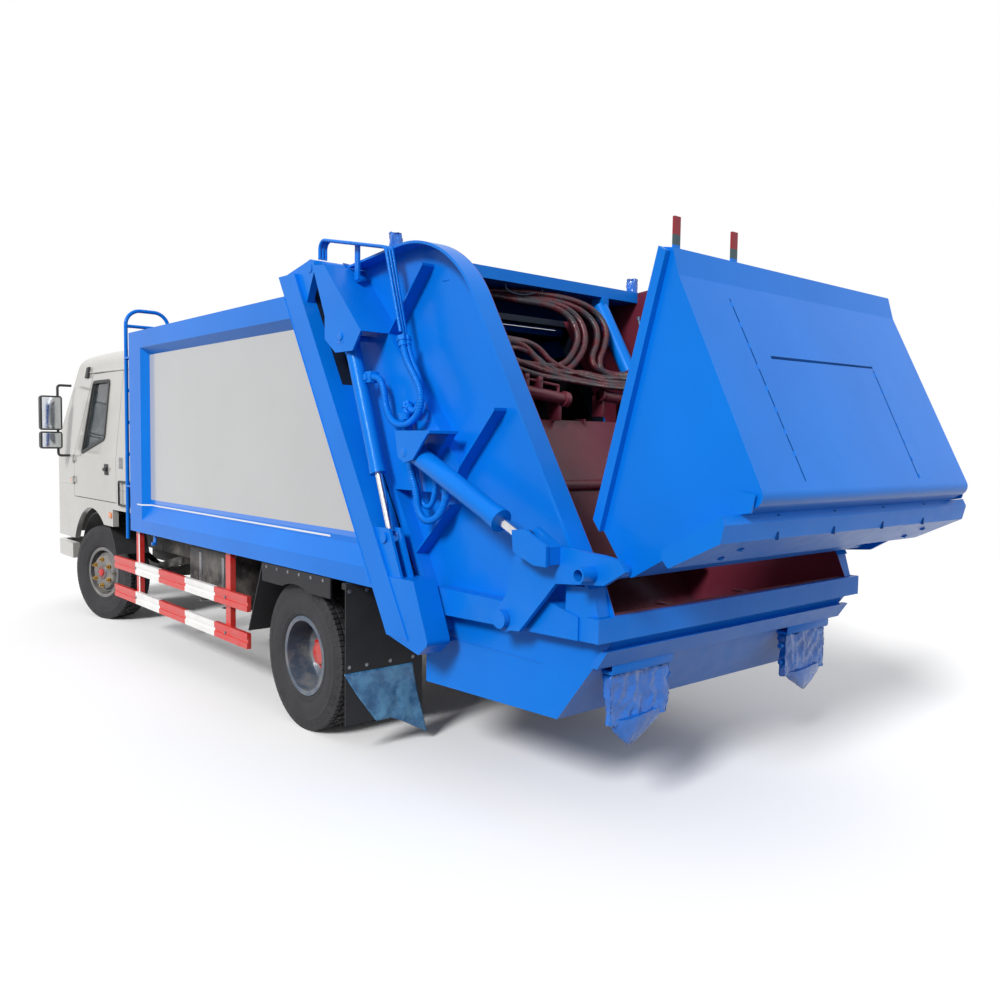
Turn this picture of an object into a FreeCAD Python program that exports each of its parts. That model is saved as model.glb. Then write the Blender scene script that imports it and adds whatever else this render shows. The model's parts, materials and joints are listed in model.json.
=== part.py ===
import FreeCAD, Part
import os
import re
import Sketcher
from FreeCAD import Placement, Rotation, Vector

# Rear loading refuse truck: a light cab-over chassis, a ribless side-panelled body, a tailgate
# filler hinged at the top of the body, and a tipping bucket on two crank arms.
# X points forward and is counted from the rear axle while the pieces are drawn, Y points left,
# Z points up from the ground. All sizes are millimetres, and angles are degrees.

doc = FreeCAD.newDocument("RefuseTruck")
sheet = doc.addObject("Spreadsheet::Sheet", "Sizes")

driving_sizes = {
    # The frame of the whole part: where the rear axle stands along X.
    "rear_axle_x": -1129.74,
    # Wheels and axles
    "wheel_base": 3800,
    "tyre_radius": 402.5,
    "tyre_half": 107.5,
    "bead_radius": 202,
    "rim_lip_radius": 216,
    "rim_half": 88,
    "rim_lip": 8,
    "rim_wall": 12,
    "disc_wall": 14,
    "front_track_half": 810,
    "kingpin_half": 705,
    "steer_rest": 15,
    "twin_middle_half": 802.5,
    "twin_spacing": 250,
    "hub_radius": 62,
    "hub_face_radius": 105,
    "hub_reach": 104,
    "rear_hub_reach": 128,
    "spindle_radius": 30,
    "running_fit": 0.3,
    "kingpin_radius": 18,
    "knuckle_radius": 46,
    "knuckle_half_height": 96,
    "knuckle_ear": 40,
    "axle_tube_radius": 62,
    "differential_radius": 170,
    "axle_beam_height": 90,
    "axle_beam_width": 84,
    "axle_beam_drop": 30,
    "shaft_radius": 42,
    # Chassis frame
    "rail_outer": 400,
    "rail_flange": 65,
    "rail_wall": 8,
    "rail_top": 740,
    "rail_height": 180,
    "rail_rear_reach": 860,
    "rail_front_reach": 900,
    "member_width": 90,
    "member_height": 110,
    "spring_width": 70,
    "spring_half_length": 640,
    "spring_leaf": 54,
    "spring_rise": 70,
    "engine_length": 820,
    "engine_width": 560,
    "engine_bottom": 430,
    "engine_top": 940,
    "engine_ahead": 480,
    # Load body
    "body_front": 2500,
    "body_half": 1080,
    "body_side_depth": 80,
    "panel_depth": 30,
    "sill_low": 881,
    "body_top": 2328,
    "floor_depth": 60,
    "roof_depth": 60,
    "front_wall_depth": 60,
    "rib_depth": 24,
    "rib_width": 70,
    "sill_edge": 970,
    "panel_low": 1095,
    "sill_slope_low": 1065,
    "rail_edge": 2206,
    "panel_high": 2156,
    "post_edge": 2266,
    "panel_front": 2220,
    "bearer_width": 80,
    # The slanted rear of the body: its front edge at body_top, its slant and its depth
    "slant_share": 0.6,
    "rear_post_x": 98,
    "rear_post_depth": 170,
    "rear_post_inner": 930,
    "rear_post_top": 2435,
    "rear_post_bottom": 680,
    "header_depth": 105,
    "foot_low": 628,
    "foot_high": 950,
    "foot_inner": 950,
    "foot_outer": 1075,
    "foot_reach": 316,
    # Cab
    "front_overhang": 1130,
    "cab_rear_reach": 1000,
    "cab_half": 970,
    "cab_roof_half": 880,
    "cab_waist": 1400,
    "cab_shoulder": 2130,
    "cab_floor": 980,
    "cab_skirt": 660,
    "cab_roof": 2290,
    "cab_roof_fall": 42,
    "cab_wall": 45,
    "screen_base_rise": 440,
    "screen_base_back": 60,
    "nose_rise": 200,
    "screen_top_back": 620,
    "brow_radius": 240,
    "roof_side_radius": 120,
    "corner_radius": 210,
    "rear_corner_radius": 60,
    "arch_radius": 520,
    "arch_height": 440,
    "arch_rear_low": 840,
    "arch_rear_back": 560,
    "door_gap": 6,
    "door_knuckle_radius": 11,
    "door_pin_radius": 6,
    "door_knuckle_height": 36,
    "door_strap": 60,
    "door_strap_wall": 6,
    "door_hinge_low": 1180,
    "door_hinge_high": 1370,
    "door_rear_back": 650,
    "door_front_ahead": 470,
    "door_low": 1034,
    "door_high": 2110,
    "door_pillar_back": 350,
    "side_window_low": 1425,
    "side_window_rise": 130,
    "side_window_high": 2030,
    "side_window_rear_back": 330,
    "side_window_front_ahead": 240,
    "side_window_top_ahead": 90,
    "glass_inset": 14,
    "glass_wall": 6,
    "screen_side_margin": 110,
    "screen_low_margin": 70,
    "screen_high_margin": 130,
    "back_window_half": 520,
    "back_window_low": 1500,
    "back_window_high": 2050,
    "cab_pivot_back": 84,
    "pivot_eye_radius": 26,
    "cab_pivot_z": 700,
    "pivot_pin_radius": 16,
    "cab_ear_y": 424,
    "cab_ear": 26,
    "cab_ear_radius": 40,
    "seat_width": 480,
    "seat_length": 460,
    "seat_height": 150,
    "seat_back_height": 620,
    "seat_y": 430,
    "seat_rear": 2990,
    "seat_gap": 26,
    "dash_depth": 380,
    "dash_low": 1300,
    "dash_high": 1500,
    "wheel_ring_radius": 205,
    "wheel_tube": 14,
    "wheel_lean": 40,
    "mirror_tube": 11,
    "mirror_out": 1120,
    "mirror_back": 530,
    "mirror_low": 1620,
    "mirror_high": 1925,
    "small_mirror_low": 1455,
    "mirror_half_width": 95,
    "mirror_depth": 60,
    "mirror_radius": 24,
    "mirror_post_y": 1004,
    "mirror_gap": 12,
    "bumper_low": 470,
    "bumper_high": 604,
    "bumper_wall": 60,
    "bumper_rear_ahead": 540,
    "bumper_radius": 200,
    # Outfit
    "guard_front": 2920,
    "guard_rear": 588,
    "guard_face": 1066,
    "guard_depth": 26,
    "guard_height": 92,
    "guard_groove": 22,
    "guard_high": 555,
    "guard_low": 335,
    "guard_post_width": 66,
    "guard_post_depth": 34,
    "guard_post_front": 2430,
    "guard_post_rear": 870,
    "ladder_ahead": 190,
    "ladder_outer": 1035,
    "ladder_width": 320,
    "ladder_tube": 14,
    "ladder_low": 800,
    "ladder_high": 2520,
    "ladder_bend": 110,
    "rung_pitch": 240,
    "rung_first": 960,
    "rung_count": 7,
    "fender_top": 874,
    "fender_wall": 8,
    "fender_inner": 560,
    "fender_outer": 1072,
    "fender_half_length": 560,
    "skirt_drop": 104,
    "flap_front_drop": 420,
    "flap_low": 170,
    "flap_wall": 8,
    "flap_inner": 640,
    "flap_outer": 1100,
    "film_high": 430,
    "film_low": 110,
    "film_wall": 5,
    "film_outer": 1108,
    "film_inner": 700,
    "front_guard_radius": 470,
    "front_guard_wall": 8,
    "front_guard_inner": 640,
    "front_guard_outer": 914,
    "tank_front": 1760,
    "tank_rear": 1040,
    "tank_inner": 470,
    "tank_outer": 930,
    "tank_low": 470,
    "tank_high": 866,
    "tank_radius": 70,
    "air_tank_radius": 118,
    "air_tank_y": 800,
    "air_tank_z": 690,
    "air_tank_rear": 1830,
    "air_tank_front": 2380,
    # Filler: hinge, side, hull
    "hinge_back": 135,
    "hinge_z": 2446,
    "hinge_pin_radius": 22,
    "hinge_eye_radius": 46,
    "body_ear_inner": 1016,
    "body_ear": 40,
    "filler_gap": 12,
    "filler_half": 860,
    "filler_plate": 10,
    "rim_outer": 950,
    "rim_flange": 14,
    "rim_front_back": 330,
    "rim_front_z": 2448,
    "rim_corner_back": 1144,
    "rim_corner_z": 2522,
    "rim_radius": 600,
    "rim_low_z": 1030,
    "hull_front_back": 905,
    "hull_front_top": 655,
    "hull_front_low": 430,
    "hull_rear_back": 1793,
    "hull_rear_low": 460,
    "hull_half": 852,
    "lip_back": 2100,
    "lip_low": 832,
    "lip_high": 924,
    "lip_depth": 60,
    "lip_skin": 15,
    "lip_half": 958,
    "band_low": 716,
    "band_high": 790,
    "band_half": 890,
    "band_depth": 40,
    "roof_beam_back": 690,
    "roof_beam": 62,
    "roof_plate_z": 2420,
    "rib_bar": 12,
    "raised_outer": 930,
    "front_flange": 60,
    "pivot_beam_low": 792,
    "pivot_beam_high": 912,
    "pivot_beam_front_back": 1090,
    "pivot_beam_rear_back": 1975,
    "pivot_beam_outer": 938,
    "lug_front_back": 1900,
    "lug_top": 1030,
    # Crank and bucket
    "crank_back": 1606,
    "crank_z": 856,
    "crank_pin_radius": 24,
    "crank_boss_radius": 54,
    "crank_cap_radius": 38,
    "crank_cap": 26,
    "arm_inner": 966,
    "arm_plate": 22,
    "elbow_back": 157,
    "elbow_rise": 340,
    "elbow_radius": 46,
    "cross_tube_back": 484,
    "cross_tube_rise": 240,
    "cross_tube_radius": 29,
    "cross_tube_wall": 7,
    "cross_tube_outer": 1062,
    "bucket_half": 800,
    "bucket_wall": 8,
    "bucket_mouth_back": 2229,
    "bucket_top_z": 2279,
    "bucket_top_back": 2273,
    "bucket_fold_back": 2300,
    "bucket_fold_z": 2172,
    "bucket_rear_back": 2683,
    "bucket_rear_z": 1389,
    "bucket_low_back": 2102,
    "bucket_low_z": 1060,
    "bucket_foot_back": 1938,
    "bucket_foot_z": 1278,
    "flange_out": 28,
    "flange_width": 34,
    "comb_half": 930,
    "comb_front_back": 2360,
    "comb_rear_back": 2600,
    "comb_drop": 30,
    "comb_height": 92,
    "comb_wall": 10,
    "stub_height": 120,
    "stub_width": 34,
    "stub_depth": 10,
    "stub_near_y": 786,
    "stub_far_y": 430,
    # Tilt cylinders
    "tilt_y": 1026,
    "tilt_pin_back": 1030,
    "tilt_pin_z": 1520,
    "tilt_barrel_radius": 46,
    "tilt_barrel_length": 650,
    "tilt_rod_radius": 20,
    "tilt_rod_inset": 230,
    "tilt_eye_radius": 40,
    "tilt_eye_half": 21,
    "tilt_pin_radius": 16,
    "cheek": 14,
    "cheek_gap": 4,
    # Lift cylinders
    "lift_y": 1030,
    "lift_top_back": 490,
    "lift_top_z": 2070,
    "lift_low_back": 852,
    "lift_low_z": 1124,
    "lift_barrel_radius": 37,
    "lift_barrel_length": 700,
    "lift_rod_radius": 17,
    "lift_rod_inset": 50,
    "lift_eye_radius": 34,
    "lift_eye_half": 18,
    "lift_pin_radius": 14,
    # Packer
    "packer_half": 800,
    "packer_shoe": 26,
    "guide_depth": 26,
    "guide_width": 60,
    "carriage_low_back": 1150,
    "carriage_low_z": 1370,
    "carriage_top_z": 1690,
    "carriage_travel": 350,
    "packer_plate": 14,
    "blade_pin_radius": 30,
    "blade_length": 455,
    "blade_plate": 16,
    "packer_ram_radius": 45,
    "packer_ram_rod": 24,
    "packer_ram_y": 560,
    "packer_ram_length": 520,
    "packer_ram_offset": 90,
    "packer_ram_top": 2370,
    "packer_lug_z": 1556,
    # Film-wrapped lamps
    "lamp_outer": 795,
    "lamp_inner": 435,
    "lamp_depth": 54,
    "lamp_height": 210,
    "lamp_high": 676,
    "lamp_back": 1968,
    "top_lamp_y": 866,
    "top_lamp_back": 629,
    "top_lamp_radius": 38,
    "top_lamp_height": 96,
    # Pipes over the filler
    "pipe_radius": 8,
    "pipe_bend": 60,
    "cross_pipe_radius": 19,
    "pipe_top_back": 130,
    "pipe_top_z": 2602,
    "pipe_end_back": 868,
    "pipe_end_z": 2034,
    "pipe_count": 3,
    "pipe_y": 961,
    "pipe_pitch": 18,
    "pipe_inner_y": 420,
    "pipe_post": 34,
    # One overrun for every cut
    "overrun": 40,
}

derived_sizes = {
    "tilt_z": "tilt_pin_z",
    "tilt_length": "sqrt((elbow_x - tilt_x) * (elbow_x - tilt_x) + (elbow_z - tilt_z) * (elbow_z - tilt_z))",
    "lift_length": "sqrt((lift_low_x - lift_x) * (lift_low_x - lift_x) + (lift_low_z - lift_top_z) * (lift_low_z - lift_top_z))",
    "pipe_clamp_back": "pipe_top_back + pipe_bend * 5",
    "pipe_clamp_z": "pipe_top_z - pipe_bend * 1.05",
    "top_lamp_foot": "roof_plate_z + roof_beam",
    "cab_front": "wheel_base + front_overhang",
    "ladder_x": "body_front + ladder_ahead",
    "mirror_x": "cab_front - mirror_back",
    "cab_rear": "wheel_base - cab_rear_reach",
    "half_wall": "body_half - body_side_depth",
    "panel_face": "half_wall + panel_depth",
    "floor_top": "sill_low + floor_depth",
    "roof_under": "body_top - roof_depth",
    "eye_half_height": "knuckle_half_height - knuckle_ear - running_fit",
    "engine_rear": "wheel_base + engine_ahead - engine_length",
    "rear_edge_zero": "rear_post_x - slant_share * body_top",
    "post_back_zero": "rear_edge_zero - rear_post_depth",
    "filler_front_zero": "post_back_zero - filler_gap",
    "hinge_x": "-hinge_back",
    "crank_x": "-crank_back",
    "elbow_x": "crank_x - elbow_back",
    "elbow_z": "crank_z + elbow_rise",
    "tube_x": "crank_x - cross_tube_back",
    "tube_z": "crank_z + cross_tube_rise",
    "tilt_x": "-tilt_pin_back",
    "lift_x": "-lift_top_back",
    "lift_low_x": "-lift_low_back",
    "rim_slope_zero": "-rim_corner_back - slant_share * rim_corner_z",
    "screen_base_z": "cab_floor + screen_base_rise",
    "screen_base_x": "cab_front - screen_base_back",
    "nose_z": "cab_floor + nose_rise",
    "screen_top_x": "cab_front - screen_top_back",
    "cab_pivot_x": "cab_front - cab_pivot_back",
    "door_rear": "wheel_base - door_rear_back",
    "door_front": "wheel_base + door_front_ahead",
    "carriage_zero": "-carriage_low_back - slant_share * carriage_low_z",
    "bucket_slope_share": "(bucket_rear_z - bucket_low_z) / (bucket_rear_back - bucket_low_back)",
    "slant_length_share": "sqrt(1 + slant_share * slant_share)",
    "hull_slope_share": "(lip_back - lip_skin - hull_rear_back) / (lip_low - hull_rear_low)",
}

# Radial and width shares of a tyre's outer section, from its bead to the tread's middle
tyre_shares = [(0.09, 0.80), (0.16, 0.91), (0.42, 1.0), (0.70, 0.99), (0.90, 0.91), (0.975, 0.80),
               (1.0, 0.58)]
# Outline of a crank arm from its pivot, as shares of the cross tube's distance back and the elbow's rise
arm_shares = [(-0.09, 0.10), (0.03, 0.31), (0.11, 0.75), (0.24, 0.94), (0.37, 1.14), (0.63, 0.95),
              (1.10, 0.92),
              (1.27, 0.89), (1.33, 0.78), (1.12, 0.60), (0.61, 0.53), (0.19, -0.11), (0.0, -0.14)]

aliases = set()
for row, (alias, value) in enumerate(list(driving_sizes.items()) + list(derived_sizes.items()), 1):
    sheet.set("A%d" % row, alias)
    sheet.set("B%d" % row, "=" + value if isinstance(value, str) else str(value))
    sheet.setAlias("B%d" % row, alias)
    aliases.add(alias)
doc.recompute()

nodes = []


def bound(text):
    """An expression with the sheet's name before each of its aliases."""
    return re.sub(r"[a-z_]+", lambda word: "Sizes." + word.group()
                  if word.group() in aliases else word.group(), text)


def amount(text):
    """The present value of an expression."""
    return float(sheet.evalExpression(text))


def bind(thing, **expressions):
    for name, text in expressions.items():
        thing.setExpression(name.replace("__", "."), bound(text))


def shift(thing, x="0", y="0", z="0"):
    bind(thing, Placement__Base__x=x, Placement__Base__y=y, Placement__Base__z=z)
    return thing


def slant(zero, height):
    """X on a line that leans back with the body's rear, at a height."""
    return "%s + slant_share * (%s)" % (zero, height)


def origin_plane(body, role):
    return next(feature for feature in body.Origin.OriginFeatures if feature.Role == role)


def draw(sketch, points):
    """A closed outline whose every corner is bound to the sheet."""
    places = [(amount(u), amount(v)) for u, v in points]
    count = len(points)
    for index, (u, v) in enumerate(places):
        end_u, end_v = places[(index + 1) % count]
        sketch.addGeometry(Part.LineSegment(Vector(u, v, 0), Vector(end_u, end_v, 0)), False)
    joints = [Sketcher.Constraint("Coincident", index, 2, (index + 1) % count, 1) for index in range(count)]
    for index, (u, v) in enumerate(places):
        joints.append(Sketcher.Constraint("DistanceX", -1, 1, index, 1, u))
        joints.append(Sketcher.Constraint("DistanceY", -1, 1, index, 1, v))
    sketch.addConstraint(joints)
    for index, (u, v) in enumerate(points):
        sketch.setExpression("Constraints[%d]" % (count + 2 * index), bound(u))
        sketch.setExpression("Constraints[%d]" % (count + 2 * index + 1), bound(v))


extrusions = {"XY": ("XY_Plane", "z", False), "XZ": ("XZ_Plane", "y", True), "YZ": ("YZ_Plane", "x", False)}
corner_axes = {"XY": (0, 1), "XZ": (0, 2), "YZ": (1, 2)}


def corner_edges(shape, plane, place):
    """Names of the edges that stand on one corner of a prism's outline."""
    u_axis, v_axis = corner_axes[plane]
    found = []
    for number, edge in enumerate(shape.Edges, 1):
        ends = [vertex.Point for vertex in edge.Vertexes]
        if all(abs(end[u_axis] - place[0]) < 0.01 and abs(end[v_axis] - place[1]) < 0.01 for end in ends):
            found.append("Edge%d" % number)
    return found


def prism(name, plane, points, start, end, rounds=None):
    """A straight solid on an outline, from one level to another, with chosen corners rounded."""
    role, axis, turned = extrusions[plane]
    body = doc.addObject("PartDesign::Body", name)
    sketch = body.newObject("Sketcher::SketchObject", name + "Outline")
    sketch.AttachmentSupport = (origin_plane(body, role), [""])
    sketch.MapMode = "FlatFace"
    draw(sketch, points)
    solid = body.newObject("PartDesign::Pad", name + "Pad")
    solid.Profile = sketch
    solid.Reversed = turned
    bind(solid, Length="(%s) - (%s)" % (end, start))
    for corner, radius in (rounds or {}).items():
        doc.recompute([body])
        place = [amount(text) for text in points[corner]]
        edges = corner_edges(solid.Shape, plane, place)
        rounded = body.newObject("PartDesign::Fillet", "%sRound%d" % (name, corner))
        rounded.Base = (solid, edges)
        bind(rounded, Radius=radius)
        solid = rounded
    shift(body, **{axis: start})
    return body


def lathe(name, points):
    """A solid of revolution about Y, from an outline of radius and Y."""
    body = doc.addObject("PartDesign::Body", name)
    sketch = body.newObject("Sketcher::SketchObject", name + "Section")
    sketch.AttachmentSupport = (origin_plane(body, "XY_Plane"), [""])
    sketch.MapMode = "FlatFace"
    draw(sketch, points)
    turned = body.newObject("PartDesign::Revolution", name + "Turn")
    turned.Profile = sketch
    turned.ReferenceAxis = (sketch, ["V_Axis"])
    turned.Angle = 360
    return body


def box(name, x, y, z):
    """A block between two levels on each axis."""
    block = doc.addObject("Part::Box", name)
    bind(block, Length="(%s) - (%s)" % (x[1], x[0]), Width="(%s) - (%s)" % (y[1], y[0]),
         Height="(%s) - (%s)" % (z[1], z[0]))
    return shift(block, x[0], y[0], z[0])


turns = {"X": Rotation(Vector(0, 1, 0), 90), "Y": Rotation(Vector(1, 0, 0), -90), "Z": Rotation()}


def cylinder(name, axis, at, span, radius):
    """A round bar along an axis, between two levels; at is its place on the other two axes."""
    bar = doc.addObject("Part::Cylinder", name)
    bar.Placement = Placement(Vector(), turns[axis])
    bind(bar, Radius=radius, Height="(%s) - (%s)" % (span[1], span[0]))
    places = {"X": (span[0], at[0], at[1]), "Y": (at[0], span[0], at[1]), "Z": (at[0], at[1], span[0])}
    return shift(bar, *places[axis])


def fuse(name, *solids):
    joined = doc.addObject("Part::MultiFuse", name)
    joined.Shapes = list(solids)
    joined.Refine = True
    return joined


def common(name, *solids):
    shared = doc.addObject("Part::MultiCommon", name)
    shared.Shapes = list(solids)
    return shared


def cut(name, solid, *tools):
    cutting = doc.addObject("Part::Cut", name)
    cutting.Base = solid
    cutting.Tool = tools[0] if len(tools) == 1 else fuse(name + "Tools", *tools)
    return cutting


def mirror(solid):
    """The same solid on the right-hand side."""
    turned = doc.addObject("Part::Mirroring", solid.Name + "Right")
    turned.Source = solid
    turned.Normal = Vector(0, 1, 0)
    return turned


def both(*solids):
    return list(solids) + [mirror(solid) for solid in solids]


def node(label, *solids, x="rear_axle_x", y="0", z="0", turn=None):
    """One named sub-part, set into the frame of the whole part."""
    piece = doc.addObject("Part::Compound", "Node_" + label)
    piece.Label = label
    piece.Links = list(solids)
    if turn:
        axis, angle = turn
        piece.Placement = Placement(Vector(), Rotation(axis, 1))
        bind(piece, Placement__Rotation__Angle=angle)
    shift(piece, x, y, z)
    nodes.append(piece)
    return piece


def swept(name, points, radius, bend):
    """A round bar through points, its corners turned on tangent arcs of one radius."""
    places = [Vector(*[amount(text) for text in point]) for point in points]
    turn_radius = amount(bend)
    edges = []
    start = places[0]
    for before, corner, after in zip(places, places[1:], places[2:]):
        inward = (before - corner).normalize()
        outward = (after - corner).normalize()
        reach = turn_radius * inward.cross(outward).Length / (1 - inward.dot(outward))
        arc_start = corner + inward * reach
        arc_end = corner + outward * reach
        bisector = (inward + outward).normalize()
        centre = corner + bisector * (turn_radius ** 2 + reach ** 2) ** 0.5
        middle = centre - bisector * turn_radius
        edges.append(Part.LineSegment(start, arc_start).toShape())
        edges.append(Part.Arc(arc_start, middle, arc_end).toShape())
        start = arc_end
    edges.append(Part.LineSegment(start, places[-1]).toShape())
    path = Part.Wire(edges)
    section = Part.Wire([Part.Circle(places[0], places[1] - places[0], amount(radius)).toShape()])
    bar = doc.addObject("Part::Feature", name)
    bar.Shape = path.makePipeShell([section], True, False)
    return bar


doc.recompute()

# Wheels: each is drawn about its own centre and set on its axle.
tyre_section = [("bead_radius", "rim_half - rim_lip"), ("rim_lip_radius + running_fit",
                                                        "rim_half - rim_lip")]
for radial_share, width_share in tyre_shares:
    radius = "bead_radius + %s * (tyre_radius - bead_radius)" % radial_share
    tyre_section.append((radius, "%s * tyre_half" % width_share))
tyre_outline = [(radius, "-(%s)" % half) for radius, half in tyre_section]
tyre_outline += list(reversed(tyre_section))

# Disc outlines as shares of the well's radius and of the rim's half width
front_disc_shares = [(1.0, 0.30), (0.88, 0.46), (0.74, 0.96), (0.56, 1.08)]
rear_disc_shares = [(1.0, -0.70), (0.86, -0.86), (0.70, -1.26)]


def tyre(name):
    return lathe(name, tyre_outline)


def rim_ring(name):
    """Well and two lips of one wheel."""
    well = "bead_radius - rim_wall"
    edge = "rim_half - rim_lip"
    return lathe(name, [(well, "-rim_half"), ("rim_lip_radius", "-rim_half"),
                        ("rim_lip_radius", "-(%s)" % edge),
                        ("bead_radius", "-(%s)" % edge), ("bead_radius", edge), ("rim_lip_radius", edge),
                        ("rim_lip_radius", "rim_half"), (well, "rim_half")])


def disc(name, shares, inner_radius, face=None):
    """Pressed wheel disc between the well and the hub."""
    well = "(bead_radius - rim_wall)"
    outer = [("%s * %s" % (radius_share, well), "%s * rim_half" % depth_share) for radius_share,
             depth_share in shares]
    outer.append((inner_radius, face or outer[-1][1]))
    return lathe(name, outer + [(radius, "%s - disc_wall" % depth) for radius, depth in reversed(outer)])


def hub(name, outer_end, inner_end, drum_start):
    """Hub with its brake drum, bored for the spindle."""
    bore = "spindle_radius + running_fit"
    drum = "bead_radius - rim_wall * 3"
    return lathe(name, [(bore, inner_end), (drum, inner_end), (drum, drum_start),
                        ("hub_face_radius", drum_start),
                        ("hub_face_radius", "(%s) + disc_wall" % drum_start),
                        ("hub_radius", "(%s) + disc_wall" % drum_start),
                        ("hub_radius", "(%s) - rim_lip" % outer_end), ("hub_radius - rim_lip", outer_end),
                        ("0", outer_end), ("0", "(%s) - spindle_radius" % outer_end),
                        (bore, "(%s) - spindle_radius" % outer_end)])


front_offset = "front_track_half - kingpin_half"
front_tyre = tyre("FrontTyre")
front_ring = rim_ring("FrontRing")
front_disc = disc("FrontDisc", front_disc_shares, "hub_radius")
front_hub = hub("FrontHub", "hub_reach", "-rim_half * 0.25", "rim_half * 0.62")
front_rim = fuse("FrontRim", front_ring, front_disc, front_hub)

# The two discs of a twin pair meet between the tyres, where the hub's flange carries them.
outer_offset = "twin_spacing / 2"
outer_ring = shift(rim_ring("OuterRing"), y=outer_offset)
inner_ring = shift(rim_ring("InnerRing"), y="-(%s)" % outer_offset)
outer_disc = lathe("OuterDisc", [("hub_radius", "0"), ("hub_face_radius * 1.25", "0"),
                                 ("bead_radius - rim_wall * 2", "rim_half * 0.62"),
                                 ("bead_radius - rim_wall", "rim_half * 0.62"),
                                 ("bead_radius - rim_wall", "rim_half * 0.84"),
                                 ("bead_radius - rim_wall * 2.2", "rim_half * 0.84"),
                                 ("hub_face_radius * 1.2", "disc_wall"), ("hub_radius", "disc_wall")])
rear_hub = hub("RearHub", "rear_hub_reach", "-(twin_spacing / 2 + rim_half)", "-disc_wall * 4")
inner_disc = doc.addObject("Part::Mirroring", "InnerDisc")
inner_disc.Source = outer_disc
inner_disc.Normal = Vector(0, 1, 0)
rear_rim = fuse("RearRim", outer_ring, inner_ring, outer_disc, inner_disc, rear_hub)
outer_tyre = shift(tyre("OuterTyre"), y=outer_offset)
inner_tyre = shift(tyre("InnerTyre"), y="-(%s)" % outer_offset)

upright = Vector(0, 0, 1)
for side, sign in (("left", ""), ("right", "-")):
    mirrored = sign == "-"
    steered = dict(x="rear_axle_x + wheel_base", y="%skingpin_half" % sign, z="tyre_radius",
                   turn=(upright, "steer_rest"))
    pieces = {"front_tyre": front_tyre, "front_rim": front_rim}
    for label, solid in pieces.items():
        placed = doc.addObject("Part::Compound", "%s_%s_place" % (label, side))
        placed.Links = [mirror(solid) if mirrored else solid]
        shift(placed, y="%s(%s)" % (sign, front_offset))
        node("%s_%s" % (label, side), placed, **steered)
    rear = dict(y="%stwin_middle_half" % sign, z="tyre_radius")
    for label, solids in {"rear_tyres": [outer_tyre, inner_tyre], "rear_rims": [rear_rim]}.items():
        node("%s_%s" % (label, side), *[mirror(solid) if mirrored else solid for solid in solids], **rear)

# Knuckles: two ears over and under the axle beam's eye, the kingpin and the wheel's spindle
eye_half = "knuckle_half_height - knuckle_ear"
ears = [cylinder("KnuckleEar%d" % index, "Z", ("0", "0"), span, "knuckle_radius") for index,
        span in enumerate(
    [(eye_half, "knuckle_half_height"), ("-knuckle_half_height", "-(%s)" % eye_half)])]
knuckle_plate = box("KnucklePlate", ("-knuckle_radius", "knuckle_radius"),
                    ("knuckle_radius + running_fit * 10", "knuckle_radius + knuckle_ear / 2"),
                    ("-knuckle_half_height", "knuckle_half_height"))
ear_webs = [box("KnuckleWeb%d" % index, ("-knuckle_radius", "knuckle_radius"),
                ("0", "knuckle_radius + knuckle_ear / 2"), span)
            for index, span in enumerate([(eye_half, "knuckle_half_height"), ("-knuckle_half_height",
                                                                              "-(%s)" % eye_half)])]
kingpin = cylinder("Kingpin", "Z", ("0", "0"), ("-knuckle_half_height - rim_lip",
                                                "knuckle_half_height + rim_lip"),
                   "kingpin_radius")
spindle = cylinder("Spindle", "Y", ("0", "0"), ("knuckle_radius + running_fit * 10",
                   "%s + hub_reach - spindle_radius - running_fit * 10" % front_offset), "spindle_radius")
steering_arm = box("SteeringArm", ("-knuckle_radius * 4.2", "0"), ("-knuckle_radius * 0.7",
                                                                   "knuckle_radius * 0.1"),
                   ("-knuckle_half_height", "-(%s)" % eye_half))
knuckle = fuse("Knuckle", *ears, *ear_webs, knuckle_plate, kingpin, spindle, steering_arm)
for side, sign in (("left", ""), ("right", "-")):
    node("knuckle_%s" % side, mirror(knuckle) if sign else knuckle, x="rear_axle_x + wheel_base",
         y="%skingpin_half" % sign, z="tyre_radius", turn=(upright, "steer_rest"))

# Chassis frame: two channels, their cross members and the brackets of the cab's pivot
rail_low = "rail_top - rail_height"
rail_span = ("-rail_rear_reach", "wheel_base + rail_front_reach")
channel = cut("RailLeft", box("RailBlock", rail_span, ("rail_outer - rail_flange", "rail_outer"),
                              (rail_low, "rail_top")),
              box("RailHollow", ("-rail_rear_reach - overrun", "wheel_base + rail_front_reach + overrun"),
                  ("rail_outer - rail_flange - overrun", "rail_outer - rail_wall"),
                  ("%s + rail_wall" % rail_low, "rail_top - rail_wall")))
# Where the cross members stand, as shares of the wheel base from the rear axle
member_shares = [-0.20, 0.14, 0.34, 0.60, 1.21]
members = [box("CrossMember%d" % index, ("wheel_base * %s" % share,
                                         "wheel_base * %s + member_width" % share),
               ("-rail_outer + rail_wall", "rail_outer - rail_wall"),
               ("rail_top - rail_wall - member_height", "rail_top - rail_wall"))
           for index, share in enumerate(member_shares)]
pivot_plate = prism("PivotPlate", "XZ", [("wheel_base + rail_front_reach * 0.7", rail_low),
                    ("cab_pivot_x", "cab_pivot_z - pivot_eye_radius"),
                    ("cab_pivot_x + pivot_eye_radius", "cab_pivot_z - pivot_eye_radius"),
                    ("cab_pivot_x + pivot_eye_radius", "cab_pivot_z + pivot_eye_radius"),
                    ("cab_pivot_x", "cab_pivot_z + pivot_eye_radius"),
                                         ("wheel_base + rail_front_reach * 0.7", "rail_top")],
                    "rail_outer - rail_wall * 2", "rail_outer", rounds={2: "pivot_eye_radius * 0.9",
                                                                        3: "pivot_eye_radius * 0.9"})
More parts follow.
